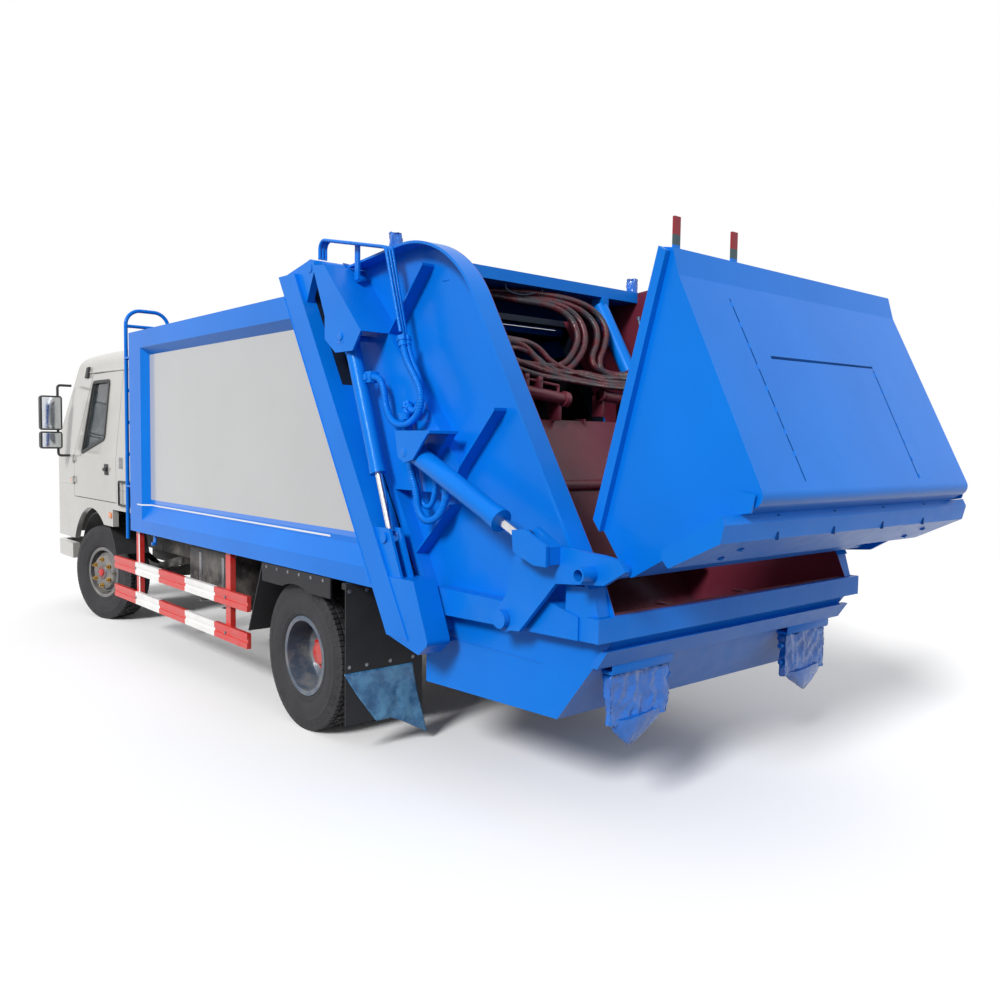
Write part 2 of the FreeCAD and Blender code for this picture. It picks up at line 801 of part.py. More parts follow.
pivot_bracket = cut("PivotBracket", pivot_plate, cylinder("PivotBore", "Y", ("cab_pivot_x", "cab_pivot_z"),
                    ("rail_outer - overrun", "rail_outer + overrun"), "pivot_pin_radius + running_fit"))
bearer = box("Bearer", (slant("post_back_zero", "sill_low") + " + rear_post_depth",
                        "body_front - rib_depth"),
             ("rail_outer - bearer_width", "rail_outer"), ("rail_top", "sill_low"))
frame_left = fuse("FrameLeft", channel, pivot_bracket)
node("frame_rails", fuse("Frame", frame_left, mirror(frame_left), *members))
node("body_bearers", *both(bearer))

# Axles: a forged beam with eyes at the kingpins in front, a banjo case behind
beam_top = "tyre_radius + eye_half_height - axle_beam_drop"
beam_eye = cylinder("BeamEye", "Z", ("wheel_base", "kingpin_half"), ("tyre_radius - eye_half_height",
                                                                     "tyre_radius + eye_half_height"),
                    "knuckle_radius")
beam_level = "kingpin_half - knuckle_radius * 2.4"
beam = prism("Beam", "YZ", [("-kingpin_half", "tyre_radius - eye_half_height"), ("-(%s)" % beam_level,
                                                                                 "tyre_radius - eye_half_height"),
             ("-rail_outer - rail_flange", "tyre_radius - axle_beam_height"),
             ("rail_outer + rail_flange", "tyre_radius - axle_beam_height"),
                            (beam_level, "tyre_radius - eye_half_height"),
             ("kingpin_half", "tyre_radius - eye_half_height"),
             ("kingpin_half", "tyre_radius + eye_half_height"), ("rail_outer + rail_flange",
                                                                 "tyre_radius - axle_beam_height / 9"),
             ("-rail_outer - rail_flange", "tyre_radius - axle_beam_height / 9"),
                            ("-kingpin_half", "tyre_radius + eye_half_height")],
             "wheel_base - axle_beam_width / 2", "wheel_base + axle_beam_width / 2")
beam_bores = [cylinder("BeamBore%d" % index, "Z", ("wheel_base", "%skingpin_half" % sign),
                       ("0", "tyre_radius * 2"),
                       "kingpin_radius + running_fit") for index, sign in enumerate(("", "-"))]
node("front_axle", cut("FrontBeam", fuse("FrontBeamBody", beam, beam_eye, mirror(beam_eye)), *beam_bores))

tube_end = "twin_middle_half - twin_spacing / 2 - rim_half - rim_lip"
axle_case = lathe("AxleCase", [("0", "-(%s)" % tube_end), ("axle_tube_radius", "-(%s)" % tube_end),
                  ("axle_tube_radius", "-differential_radius * 1.4"), ("differential_radius",
                                                                       "-differential_radius * 0.5"),
                  ("differential_radius", "differential_radius * 0.5"),
                               ("axle_tube_radius", "differential_radius * 1.4"),
                  ("axle_tube_radius", tube_end), ("0", tube_end)])
stub_axle = cylinder("RearSpindle", "Y", ("0", "0"),
                     ("0", "twin_middle_half + rear_hub_reach - spindle_radius - running_fit * 10"),
                     "spindle_radius")
pinion = cylinder("PinionNose", "X", ("0", "0"), ("0", "differential_radius * 1.9"), "axle_tube_radius")
axle_body = shift(fuse("RearAxleBody", axle_case, stub_axle, mirror(stub_axle), pinion), z="tyre_radius")
node("rear_axle", axle_body)
node("propeller_shaft", cylinder("Propeller", "X", ("0", "tyre_radius"), ("differential_radius * 1.9",
                                                                          "engine_rear"), "shaft_radius"))


def spring(name, middle, seat):
    """One bundle of leaves, arched down to the axle's seat."""
    hang = "rail_top - rail_height"
    points = [("%s - spring_half_length" % middle, "%s - spring_leaf" % hang),
              ("%s - spring_width" % middle, seat),
              ("%s + spring_width" % middle, seat), ("%s + spring_half_length" % middle,
                                                     "%s - spring_leaf" % hang),
              ("%s + spring_half_length" % middle, hang), ("%s + spring_half_length * 0.9" % middle, hang),
              ("%s + spring_width" % middle, "%s + spring_leaf" % seat), ("%s - spring_width" % middle,
                                                                          "%s + spring_leaf" % seat),
              ("%s - spring_half_length * 0.9" % middle, hang), ("%s - spring_half_length" % middle, hang)]
    return prism(name, "XZ", points, "rail_outer - spring_width / 2", "rail_outer + spring_width / 2")


node("leaf_springs", *both(spring("FrontSpring", "wheel_base", "tyre_radius - axle_beam_height / 9"),
                           spring("RearSpring", "0", "tyre_radius + axle_tube_radius")))
node("engine_block", box("Engine", ("engine_rear", "engine_rear + engine_length"), ("-engine_width / 2",
                                                                                    "engine_width / 2"),
                         ("engine_bottom", "engine_top")))

# Outfit on the chassis: fuel and air tanks, wings, flaps, side guards
fuel_tank = prism("FuelTank", "YZ", [("tank_inner", "tank_low"), ("tank_outer", "tank_low"),
                                     ("tank_outer", "tank_high"),
                  ("tank_inner", "tank_high")], "tank_rear", "tank_front", rounds={index: "tank_radius"
                                                                                   for index in range(4)})
tank_arm = box("TankArm", ("(tank_front + tank_rear) / 2 - member_width / 2",
                           "(tank_front + tank_rear) / 2 + member_width / 2"),
               ("rail_outer", "tank_inner"), ("rail_top - rail_height", "rail_top - rail_wall"))
air_tank = cylinder("AirTank", "X", ("air_tank_y", "air_tank_z"), ("air_tank_rear", "air_tank_front"),
                    "air_tank_radius")
air_arm = box("AirTankArm", ("(air_tank_front + air_tank_rear) / 2 - member_width / 2",
                             "(air_tank_front + air_tank_rear) / 2 + member_width / 2"),
              ("rail_outer", "air_tank_y"), ("air_tank_z - rail_wall", "air_tank_z + rail_wall"))
node("side_tanks", fuse("FuelTankSet", fuel_tank, tank_arm), mirror(fuse("AirTankSet", air_tank, air_arm)))

fender_points = [("-fender_half_length * 0.66", "fender_top"), ("fender_half_length * 0.68", "fender_top"),
                 ("fender_half_length", "fender_top - flap_front_drop"),
                 ("fender_half_length - fender_wall", "fender_top - flap_front_drop"),
                 ("fender_half_length * 0.68 - fender_wall", "fender_top - fender_wall"),
                 ("-fender_half_length * 0.66", "fender_top - fender_wall")]
fender_top = prism("FenderTop", "XZ", fender_points, "fender_inner", "fender_outer")
fender_lip = cut("FenderLip", box("FenderSkirt", ("-fender_half_length * 0.66",
                                                  "fender_half_length * 0.68"),
                 ("fender_outer - fender_wall", "fender_outer"), ("fender_top - skirt_drop", "fender_top")),
                 cylinder("FenderArch", "Y", ("0", "tyre_radius"), ("0", "body_half + overrun"),
                          "tyre_radius - fender_wall"))
flap_hanger = box("FenderHanger", ("-member_width / 2", "member_width / 2"), ("rail_outer", "fender_inner"),
                  ("rail_top - rail_height / 2", "rail_top - rail_wall"))
fender_leg = box("FenderLeg", ("-member_width / 2", "member_width / 2"), ("fender_inner - rail_wall",
                                                                          "fender_inner + rail_wall"),
                 ("rail_top - rail_height / 2", "fender_top - fender_wall / 2"))
node("rear_fenders", *both(fuse("RearFender", fender_top, fender_lip, flap_hanger, fender_leg)))
mud_flap = box("MudFlap", ("-fender_half_length - flap_wall", "-fender_half_length"),
               ("flap_inner", "flap_outer"),
               ("flap_low", "fender_top"))
flap_rail = box("FlapRail", ("-fender_half_length", "-fender_half_length + member_width / 3"),
                ("rail_outer", "flap_outer"),
                ("fender_top - member_width / 3", "fender_top"))
flap_rail_end = box("FlapRailEnd", ("-fender_half_length", "-fender_half_length + member_width / 3"),
                    ("rail_outer", "rail_outer + rail_wall"),
                    ("rail_top - member_width", "fender_top"))
node("mud_flaps", *both(fuse("FlapSet", mud_flap, flap_rail, flap_rail_end)))
film_back = "-fender_half_length - flap_wall - running_fit"
node("flap_film", box("FlapFilm", ("%s - film_wall" % film_back, film_back), ("film_inner", "film_outer"),
                      ("film_low", "film_high")))

front_wing = cut("FrontWing", cut("FrontWingRing", cylinder("WingOuter", "Y", ("wheel_base", "arch_height"),
                 ("front_guard_inner", "front_guard_outer"), "front_guard_radius + front_guard_wall"),
                 cylinder("WingInner", "Y", ("wheel_base", "arch_height"), ("front_guard_inner - overrun",
                                                                            "front_guard_outer + overrun"),
                          "front_guard_radius")),
                 box("WingTrim", ("wheel_base - wheel_base", "wheel_base * 2"), ("0", "body_half"),
                     ("-wheel_base", "arch_height + front_guard_radius / 3")))
wing_arm = box("WingArm", ("wheel_base - member_width / 2", "wheel_base + member_width / 2"),
               ("rail_outer - rail_wall", "front_guard_inner + member_width"),
               ("arch_height + front_guard_radius + front_guard_wall / 2",
                "arch_height + front_guard_radius + front_guard_wall * 2"))
wing_leg = box("WingLeg", ("wheel_base - member_width / 2", "wheel_base + member_width / 2"),
               ("rail_outer - rail_wall", "rail_outer"),
               ("rail_top", "arch_height + front_guard_radius + front_guard_wall * 2"))
node("front_wings", *both(fuse("FrontWingSet", front_wing, wing_arm, wing_leg)))

bumper_outer = prism("BumperOuter", "XY", [("wheel_base + bumper_rear_ahead", "-cab_half"),
                                           ("cab_front", "-cab_half"),
                     ("cab_front", "cab_half"), ("wheel_base + bumper_rear_ahead", "cab_half")],
                     "bumper_low", "bumper_high",
                     rounds={1: "bumper_radius", 2: "bumper_radius"})
bumper_inner = prism("BumperInner", "XY", [("wheel_base + bumper_rear_ahead - overrun",
                                            "-cab_half + bumper_wall"),
                     ("cab_front - bumper_wall", "-cab_half + bumper_wall"), ("cab_front - bumper_wall",
                                                                              "cab_half - bumper_wall"),
                     ("wheel_base + bumper_rear_ahead - overrun", "cab_half - bumper_wall")],
                     "bumper_low - overrun", "bumper_high + overrun",
                     rounds={1: "bumper_radius - bumper_wall", 2: "bumper_radius - bumper_wall"})
bumper_arm = box("BumperArm", ("wheel_base + rail_front_reach", "cab_front - bumper_wall / 2"),
                 ("rail_outer - rail_flange", "rail_outer - rail_wall * 3"),
                 ("rail_top - rail_height", "bumper_high"))
node("bumper", fuse("BumperSet", cut("BumperBar", bumper_outer, bumper_inner), bumper_arm,
                    mirror(bumper_arm)))

guards = []
for level in ("guard_high", "guard_low"):
    rail = box("Guard_" + level, ("guard_rear", "guard_front"), ("guard_face - guard_depth", "guard_face"),
               (level, "%s + guard_height" % level))
    groove = box("Groove_" + level, ("guard_rear - overrun", "guard_front + overrun"),
                 ("guard_face - guard_depth / 4", "guard_face + overrun"),
                 ("%s + (guard_height - guard_groove) / 2" % level,
                  "%s + (guard_height + guard_groove) / 2" % level))
    guards.append(cut("Rail_" + level, rail, groove))
for place in ("guard_post_front", "guard_post_rear"):
    guards.append(box("Post_" + place, (place, "%s + guard_post_width" % place),
                      ("guard_face - guard_depth - guard_post_depth", "guard_face - guard_depth"),
                      ("guard_low", "sill_low")))
node("side_guards", *both(fuse("GuardSet", *guards)))

# Load body: floor, roof, front wall, framed and panelled sides, slanted rear frame
body_floor = prism("Floor", "XZ", [(slant("rear_edge_zero", "sill_low"), "sill_low"),
                                   ("body_front - front_wall_depth", "sill_low"),
                   ("body_front - front_wall_depth", "floor_top"), (slant("rear_edge_zero", "floor_top"),
                                                                    "floor_top")],
                   "-half_wall", "half_wall")
node("body_floor", body_floor)
body_roof = prism("Roof", "XZ", [(slant("rear_edge_zero", "roof_under"), "roof_under"),
                                 ("body_front - front_wall_depth", "roof_under"),
                  ("body_front - front_wall_depth", "body_top"), (slant("rear_edge_zero", "body_top"),
                                                                  "body_top")],
                  "-half_wall", "half_wall")
node("body_roof", body_roof)
front_wall = box("FrontWall", ("body_front - front_wall_depth", "body_front"), ("-half_wall", "half_wall"),
                 ("sill_low", "body_top"))
# Places of the front wall's ribs, as shares of its half width
rib_shares = [-0.84, -0.42, 0.0, 0.42, 0.84]
wall_ribs = [box("WallRib%d" % index, ("body_front", "body_front + rib_depth"),
                 ("half_wall * %s - rib_width / 2" % share, "half_wall * %s + rib_width / 2" % share),
                 ("sill_low + rib_width", "body_top - rib_width")) for index,
             share in enumerate(rib_shares)]
node("body_front_wall", fuse("FrontWallSet", front_wall, *wall_ribs))

frame_profile = [(slant("rear_edge_zero", "sill_low"), "sill_low"), ("body_front", "sill_low"),
                 ("body_front", "body_top"),
                 (slant("rear_edge_zero", "body_top"), "body_top")]
frame_limits = prism("SideLimits", "XZ", frame_profile, "half_wall", "body_half")
frame_rear = slant("rear_edge_zero", "sill_low")
sill = prism("Sill", "YZ", [("half_wall", "sill_low"), ("body_half", "sill_low"),
                            ("body_half", "sill_edge"),
             ("panel_face", "sill_slope_low"), ("panel_face", "panel_low"), ("half_wall", "panel_low")],
             frame_rear, "body_front")
top_rail = prism("TopRail", "YZ", [("half_wall", "panel_high"), ("panel_face", "panel_high"),
                                   ("body_half", "rail_edge"),
                 ("body_half", "body_top"), ("half_wall", "body_top")], frame_rear, "body_front")
front_post = prism("FrontPost", "XY", [("panel_front", "half_wall"), ("body_front", "half_wall"),
                                       ("body_front", "body_half"),
                   ("post_edge", "body_half"), ("panel_front", "panel_face")], "sill_low", "body_top")
node("body_side_frames", *both(common("SideFrame", fuse("SideBars", sill, top_rail, front_post),
                                      frame_limits)))
side_panel = prism("SidePanel", "XZ", [(slant("rear_edge_zero", "panel_low"), "panel_low"),
                                       ("panel_front", "panel_low"),
                   ("panel_front", "panel_high"), (slant("rear_edge_zero", "panel_high"), "panel_high")],
                   "half_wall", "panel_face")
node("side_panels", *both(side_panel))

rear_post = prism("RearPost", "XZ", [(slant("rear_edge_zero", "rear_post_bottom"), "rear_post_bottom"),
                  (slant("rear_edge_zero", "rear_post_top"), "rear_post_top"),
                                     (slant("post_back_zero", "rear_post_top"), "rear_post_top"),
                  (slant("post_back_zero", "rear_post_bottom"), "rear_post_bottom")], "rear_post_inner",
                  "body_half")
header = prism("Header", "XZ", [(slant("rear_edge_zero", "rear_post_top - header_depth"),
                                 "rear_post_top - header_depth"),
               (slant("rear_edge_zero", "rear_post_top"), "rear_post_top"),
                                (slant("post_back_zero", "rear_post_top"), "rear_post_top"),
               (slant("post_back_zero", "rear_post_top - header_depth"), "rear_post_top - header_depth")],
               "-rear_post_inner", "rear_post_inner")
threshold = prism("Threshold", "XZ", [(slant("rear_edge_zero", "rail_top"), "rail_top"),
                  (slant("rear_edge_zero", "floor_top"), "floor_top"),
                                      (slant("post_back_zero", "floor_top"), "floor_top"),
                  (slant("post_back_zero", "rail_top"), "rail_top")], "-rear_post_inner", "rear_post_inner")
foot_front = slant("rear_edge_zero", "rear_post_bottom")
foot = prism("PostFoot", "XZ", [(foot_front, "rear_post_bottom"), ("%s - foot_reach * 0.77" % foot_front,
                                                                   "foot_low"),
             ("%s - foot_reach" % foot_front, "rear_post_bottom + cheek_gap"),
                                ("%s - foot_reach * 0.64" % foot_front, "foot_high"),
             (slant("post_back_zero", "foot_high"), "foot_high"), (slant("rear_edge_zero", "foot_high"),
                                                                   "foot_high")],
             "foot_inner", "foot_outer", rounds={2: "foot_reach / 12"})
cheek_top = "lift_low_z + lift_eye_radius * 1.3"
cheek_outline = [(slant("post_back_zero", "foot_high"), "foot_high - rail_wall"),
                 ("lift_low_x - lift_eye_radius * 4", "foot_high - rail_wall"),
                 ("lift_low_x - lift_eye_radius", cheek_top), (slant("post_back_zero", cheek_top),
                                                               cheek_top)]
inner_cheek = prism("LiftCheekInner", "XZ", cheek_outline, "lift_y - lift_eye_half - cheek_gap - cheek",
                    "lift_y - lift_eye_half - cheek_gap")
outer_cheek = prism("LiftCheekOuter", "XZ", cheek_outline, "lift_y + lift_eye_half + cheek_gap",
                    "lift_y + lift_eye_half + cheek_gap + cheek")
low_boss = cylinder("LiftLowBoss", "Y", ("lift_low_x", "lift_low_z"),
                    ("lift_y + lift_eye_half + cheek_gap + cheek",
                    "lift_y + lift_eye_half + cheek_gap + cheek * 1.8"), "lift_eye_radius * 0.7")
ear_plate = prism("HingeEar", "XZ", [(slant("post_back_zero", "rear_post_top - header_depth * 1.5"),
                                      "rear_post_top - header_depth * 1.5"),
                  ("hinge_x - hinge_eye_radius * 0.86", "hinge_z - hinge_eye_radius * 0.5"),
                                     ("hinge_x", "hinge_z"),
                  ("hinge_x + hinge_eye_radius * 0.4", "hinge_z + hinge_eye_radius * 0.9"),
                                     (slant("rear_edge_zero", "rear_post_top"), "rear_post_top"),
                  (slant("rear_edge_zero", "rear_post_top - header_depth"),
                   "rear_post_top - header_depth")],
                  "body_ear_inner", "body_ear_inner + body_ear")
ear_ring = cylinder("HingeEarRing", "Y", ("hinge_x", "hinge_z"),
                    ("body_ear_inner", "body_ear_inner + body_ear"), "hinge_eye_radius")
ear_bore = cylinder("HingeBore", "Y", ("hinge_x", "hinge_z"), ("body_ear_inner - overrun",
                                                               "body_ear_inner + body_ear + overrun"),
                    "hinge_pin_radius + running_fit")
rear_side = fuse("RearSide", rear_post, foot, inner_cheek, outer_cheek, low_boss,
                 cut("HingeEarSet", fuse("HingeEarBody", ear_plate, ear_ring), ear_bore))
node("rear_frame", fuse("RearFrame", rear_side, mirror(rear_side), header, threshold))

# Access ladder between the body and the cab
ladder_inner = "ladder_outer - ladder_width"
stiles = swept("Stiles", [("ladder_x", "ladder_outer", "ladder_low"), ("ladder_x", "ladder_outer",
                                                                       "ladder_high"),
               ("ladder_x", ladder_inner, "ladder_high"), ("ladder_x", ladder_inner, "ladder_low")],
               "ladder_tube", "ladder_bend")
rungs = [cylinder("Rung%d" % index, "Y", ("ladder_x", "rung_first + rung_pitch * %d" % index),
                  (ladder_inner, "ladder_outer"),
                  "ladder_tube * 0.9") for index in range(int(amount("rung_count")))]
stays = [box("LadderStay%d" % index, ("body_front", "ladder_x"), ("%s - ladder_tube" % side,
                                                                  "%s + ladder_tube" % side),
             ("rung_first + rung_pitch * %d - ladder_tube / 2" % rung,
              "rung_first + rung_pitch * %d + ladder_tube / 2" % rung))
         for index, (side, rung) in enumerate([("ladder_outer", 1), (ladder_inner, 1), ("ladder_outer", 5),
                                               (ladder_inner, 5)])]
node("ladder", fuse("LadderSet", stiles, *rungs, *stays))

# Cab: three outlines crossed, once for each skin, so walls and panes follow one form
def cab_form(name, inset):
    """The cab's closed form, drawn in from its outer skin."""
    roof = "cab_roof - cab_roof_fall"
    side = prism(name + "Side", "XZ", [("cab_rear + %s" % inset, "cab_floor + %s" % inset),
                                       ("cab_front - %s" % inset, "cab_floor + %s" % inset),
                 ("cab_front - %s" % inset, "nose_z"), ("screen_base_x - %s" % inset, "screen_base_z"),
                 ("screen_top_x - %s" % inset, "%s - %s" % (roof, inset)), ("(cab_rear + cab_front) / 2",
                                                                            "cab_roof - %s" % inset),
                 ("cab_rear + %s" % inset, "cab_roof - %s" % inset)], "-body_half", "body_half",
                 rounds={2: "brow_radius", 3: "brow_radius", 4: "brow_radius", 6: "rear_corner_radius"})
    front = prism(name + "Front", "YZ", [("-cab_half + %s" % inset, "cab_floor - overrun"),
                                         ("cab_half - %s" % inset, "cab_floor - overrun"),
                  ("cab_half - %s" % inset, "cab_waist"), ("cab_roof_half - %s" % inset,
                                                           "cab_roof - %s" % inset),
                  ("-cab_roof_half + %s" % inset, "cab_roof - %s" % inset), ("-cab_half + %s" % inset,
                                                                             "cab_waist")],
                  "cab_rear - overrun", "cab_front + overrun", rounds={3: "roof_side_radius",
                                                                       4: "roof_side_radius"})
    return common(name, side, front, cab_plan(name + "Plan", inset, "cab_floor - overrun",
                                              "cab_roof + overrun"))


def cab_plan(name, inset, low, high):
    return prism(name, "XY", [("cab_rear + %s" % inset, "-cab_half + %s" % inset),
                              ("cab_front - %s" % inset, "-cab_half + %s" % inset),
                 ("cab_front - %s" % inset, "cab_half - %s" % inset), ("cab_rear + %s" % inset,
                                                                       "cab_half - %s" % inset)], low, high,
                 rounds={1: "corner_radius - %s" % inset, 2: "corner_radius - %s" % inset})


cab_outer = cab_form("CabOuter", "0")
skirt_side = prism("SkirtSide", "XZ", [("wheel_base - arch_rear_back", "cab_floor + overrun"),
                                       ("wheel_base - arch_rear_back", "arch_rear_low"),
                   ("wheel_base", "arch_rear_low"), ("wheel_base", "cab_skirt"), ("cab_front", "cab_skirt"),
                                       ("cab_front", "cab_floor + overrun")],
                   "-cab_half", "cab_half")
skirt = common("Skirt", skirt_side, cab_plan("SkirtPlan", "0", "cab_skirt", "cab_floor + overrun"))
under_cab = cab_plan("UnderCab", "cab_wall", "cab_skirt - overrun", "cab_floor")
arch = cylinder("WheelArch", "Y", ("wheel_base", "arch_height"), ("-body_half", "body_half"), "arch_radius")
back_open = box("SkirtBack", ("cab_rear - overrun", "wheel_base"), ("-cab_half + cab_wall",
                                                                    "cab_half - cab_wall"),
                ("cab_skirt - overrun", "cab_floor"))

door_outline = [("door_rear", "door_low"), ("door_front", "door_low"), ("door_front", "cab_waist"),
                ("door_front - door_pillar_back", "door_high"),
                ("door_rear", "door_high")]
door_inner = [("door_rear + door_gap", "door_low + door_gap"), ("door_front - door_gap",
                                                                "door_low + door_gap"),
              ("door_front - door_gap", "cab_waist"), ("door_front - door_pillar_back - door_gap * 1.3",
                                                       "door_high - door_gap"),
              ("door_rear + door_gap", "door_high - door_gap")]
door_y = ("cab_roof_half - cab_wall * 1.4", "cab_half + overrun")
door_hole = prism("DoorHole", "XZ", door_outline, *door_y)
window_outline = [("wheel_base - side_window_rear_back", "side_window_low + side_window_rise"),
                  ("wheel_base + side_window_front_ahead", "side_window_low"),
                  ("wheel_base + side_window_top_ahead", "side_window_high"),
                  ("wheel_base - side_window_rear_back", "side_window_high")]
window_rounds = {0: "glass_inset * 3", 1: "glass_inset * 2", 2: "glass_inset * 2", 3: "glass_inset * 3"}
side_window = prism("SideWindow", "XZ", window_outline, *door_y, rounds=window_rounds)
screen_half = "cab_roof_half - screen_side_margin"
screen_hole = box("ScreenHole", ("wheel_base", "cab_front + overrun"), ("-(%s)" % screen_half, screen_half),
                  ("screen_base_z + screen_low_margin", "cab_roof - screen_high_margin"))
back_hole = box("BackHole", ("cab_rear - overrun", "cab_rear + cab_wall + overrun"), ("-back_window_half",
                                                                                      "back_window_half"),
                ("back_window_low", "back_window_high"))
ear_top = box("CabEarTop", ("cab_pivot_x - pivot_eye_radius", "cab_front - cab_wall / 2"),
              ("cab_ear_y", "cab_ear_y + cab_ear"),
              ("cab_pivot_z", "cab_floor + cab_wall / 2"))
ear_round = cylinder("CabEarRound", "Y", ("cab_pivot_x", "cab_pivot_z"),
                     ("cab_ear_y", "cab_ear_y + cab_ear"), "pivot_eye_radius")
ear_pin = cylinder("CabPin", "Y", ("cab_pivot_x", "cab_pivot_z"), ("rail_outer - rail_wall * 3",
                                                                   "cab_ear_y + cab_ear"),
                   "pivot_pin_radius")
cab_ear_set = fuse("CabEarSet", ear_top, ear_round, ear_pin)
cab_walls = cut("CabWalls", fuse("CabBody", cab_outer, skirt), cab_form("CabInner", "cab_wall"), under_cab,
                back_open, arch)
cab_open = cut("CabOpen", fuse("CabWithEars", cab_walls, cab_ear_set, mirror(cab_ear_set)), door_hole,
               mirror(door_hole), screen_hole, back_hole)

# Each door hangs on two hinges outside the skin: a knuckle of the door between two of the cab
hinge_line = ("door_front - door_gap / 2", "cab_half + door_knuckle_radius + running_fit")
strap_y = ("cab_half", "cab_half + door_strap_wall")
cab_hinges, door_hinges, pin_bores = [], [], []
for level in ("door_hinge_low", "door_hinge_high"):
    half = "door_knuckle_height / 2"
    for name, low, high in (("Under", "%s - %s * 2" % (level, half),
                             "%s - %s - running_fit" % (level, half)),
                            ("Over", "%s + %s + running_fit" % (level, half), "%s + %s * 2" % (level,
                                                                                               half))):
        cab_hinges.append(cylinder("%s_%s" % (name, level), "Z", hinge_line, (low, high),
                                   "door_knuckle_radius"))
        cab_hinges.append(box("%sStrap_%s" % (name, level),
                              (hinge_line[0], hinge_line[0] + " + door_strap"), strap_y, (low, high)))
    cab_hinges.append(cylinder("Pin_" + level, "Z", hinge_line, ("%s - %s * 2" % (level, half),
                                                                 "%s + %s * 2" % (level, half)),
                               "door_pin_radius"))
    knuckle_span = ("%s - %s" % (level, half), "%s + %s" % (level, half))
    door_hinges.append(cylinder("Knuckle_" + level, "Z", hinge_line, knuckle_span, "door_knuckle_radius"))
    door_hinges.append(box("Strap_" + level, (hinge_line[0] + " - door_strap", hinge_line[0]), strap_y,
                           knuckle_span))
    pin_bores.append(cylinder("Bore_" + level, "Z", hinge_line, knuckle_span,
                              "door_pin_radius + running_fit"))
cab_hinge_set = fuse("CabHinges", *cab_hinges)
node("cab_shell", fuse("CabShell", cab_open, cab_hinge_set, mirror(cab_hinge_set)))

door_leaf = prism("DoorLeaf", "XZ", door_inner, *door_y)
door_panel = cut("DoorPanel", common("DoorSkin", cab_walls, door_leaf), side_window)
door = cut("Door", fuse("DoorWithHinges", door_panel, *door_hinges), *pin_bores)
pane_skin = cut("PaneSkin", cab_form("PaneOuter", "glass_inset"), cab_form("PaneInner",
                                                                           "(glass_inset + glass_wall)"))
door_pane = common("DoorPane", pane_skin, side_window)
for side in ("left", "right"):
    node("door_" + side, door if side == "left" else mirror(door))
    node("door_glass_" + side, door_pane if side == "left" else mirror(door_pane))
node("cab_glass", common("ScreenPane", pane_skin, screen_hole), common("BackPane", pane_skin, back_hole))

seats = []
for index, sign in enumerate(("", "-")):
    middle = "%sseat_y" % sign
    span = ("%s - seat_width / 2" % middle, "%s + seat_width / 2" % middle)
    cushion = box("SeatCushion%d" % index, ("seat_rear", "seat_rear + seat_length"), span,
                  ("cab_floor + cab_wall", "cab_floor + cab_wall + seat_height * 2"))
    back = prism("SeatBack%d" % index, "XZ",
                 [("seat_rear - seat_gap * 2", "cab_floor + cab_wall + seat_height * 2"),
                 ("seat_rear + seat_height * 0.7", "cab_floor + cab_wall + seat_height * 2"),
                 ("seat_rear + seat_height * 0.3",
                  "cab_floor + cab_wall + seat_height * 2 + seat_back_height"),
                 ("seat_rear - seat_gap * 3", "cab_floor + cab_wall + seat_height * 2 + seat_back_height")],
                 *span)
    seats.append(fuse("Seat%d" % index, cushion, back))
dash = prism("Dash", "XZ", [("cab_front - cab_wall - dash_depth * 0.6", "cab_floor + cab_wall"),
                            ("cab_front - cab_wall * 2.6", "cab_floor + cab_wall"),
             ("cab_front - cab_wall * 2.6", "dash_low"), ("screen_base_x - cab_wall * 3",
                                                          "screen_base_z - cab_wall / 2"),
             ("screen_base_x - dash_depth", "screen_base_z - cab_wall / 2"),
                            ("cab_front - cab_wall - dash_depth * 1.2", "dash_low")],
             "-cab_half + corner_radius", "cab_half - corner_radius")
wheel_ring = doc.addObject("Part::Torus", "SteeringRing")
bind(wheel_ring, Radius1="wheel_ring_radius", Radius2="wheel_tube")
column = cylinder("Column", "Z", ("0", "0"), ("-wheel_ring_radius * 1.7", "0"), "wheel_tube * 2")
spoke = cylinder("WheelSpoke", "Y", ("0", "0"), ("-wheel_ring_radius", "wheel_ring_radius"),
                 "wheel_tube * 0.8")
steering = doc.addObject("Part::Compound", "SteeringSet")
steering.Links = [fuse("SteeringWheel", wheel_ring, column, spoke)]
steering.Placement = Placement(Vector(), Rotation(Vector(0, -1, 0), 1))
bind(steering, Placement__Rotation__Angle="wheel_lean")
shift(steering, "screen_base_x - dash_depth - wheel_ring_radius * 0.75", "seat_y",
      "dash_high + wheel_tube * 2")
node("cab_interior", *seats, fuse("DashSet", dash, steering))

mirror_pieces = []
post = swept("MirrorPost", [("mirror_x", "cab_half - cab_wall / 2", "mirror_high + mirror_depth * 1.6"),
                            ("mirror_x", "mirror_post_y + mirror_depth",
                             "mirror_high + mirror_depth * 1.6"),
             ("mirror_x", "mirror_post_y + mirror_depth", "small_mirror_low - mirror_depth"),
                            ("mirror_x", "cab_half - cab_wall / 2", "small_mirror_low - mirror_depth")],
             "mirror_tube", "mirror_radius")
for label, low, high in (("Main", "mirror_low", "mirror_high"), ("Small", "small_mirror_low",
                                                                 "mirror_low - mirror_gap")):
    case = prism(label + "Mirror", "YZ", [("mirror_out - mirror_half_width * 0.9", low),
                                          ("mirror_out + mirror_half_width", low),
                 ("mirror_out + mirror_half_width", high), ("mirror_out - mirror_half_width * 0.9", high)],
                 "mirror_x - mirror_depth / 2", "mirror_x + mirror_depth / 2",
                 rounds={index: "mirror_radius" for index in range(4)})
    mirror_pieces.append(case)
node("mirrors", *both(cut("MirrorTrim", fuse("MirrorSet", post, *mirror_pieces), cab_open)))

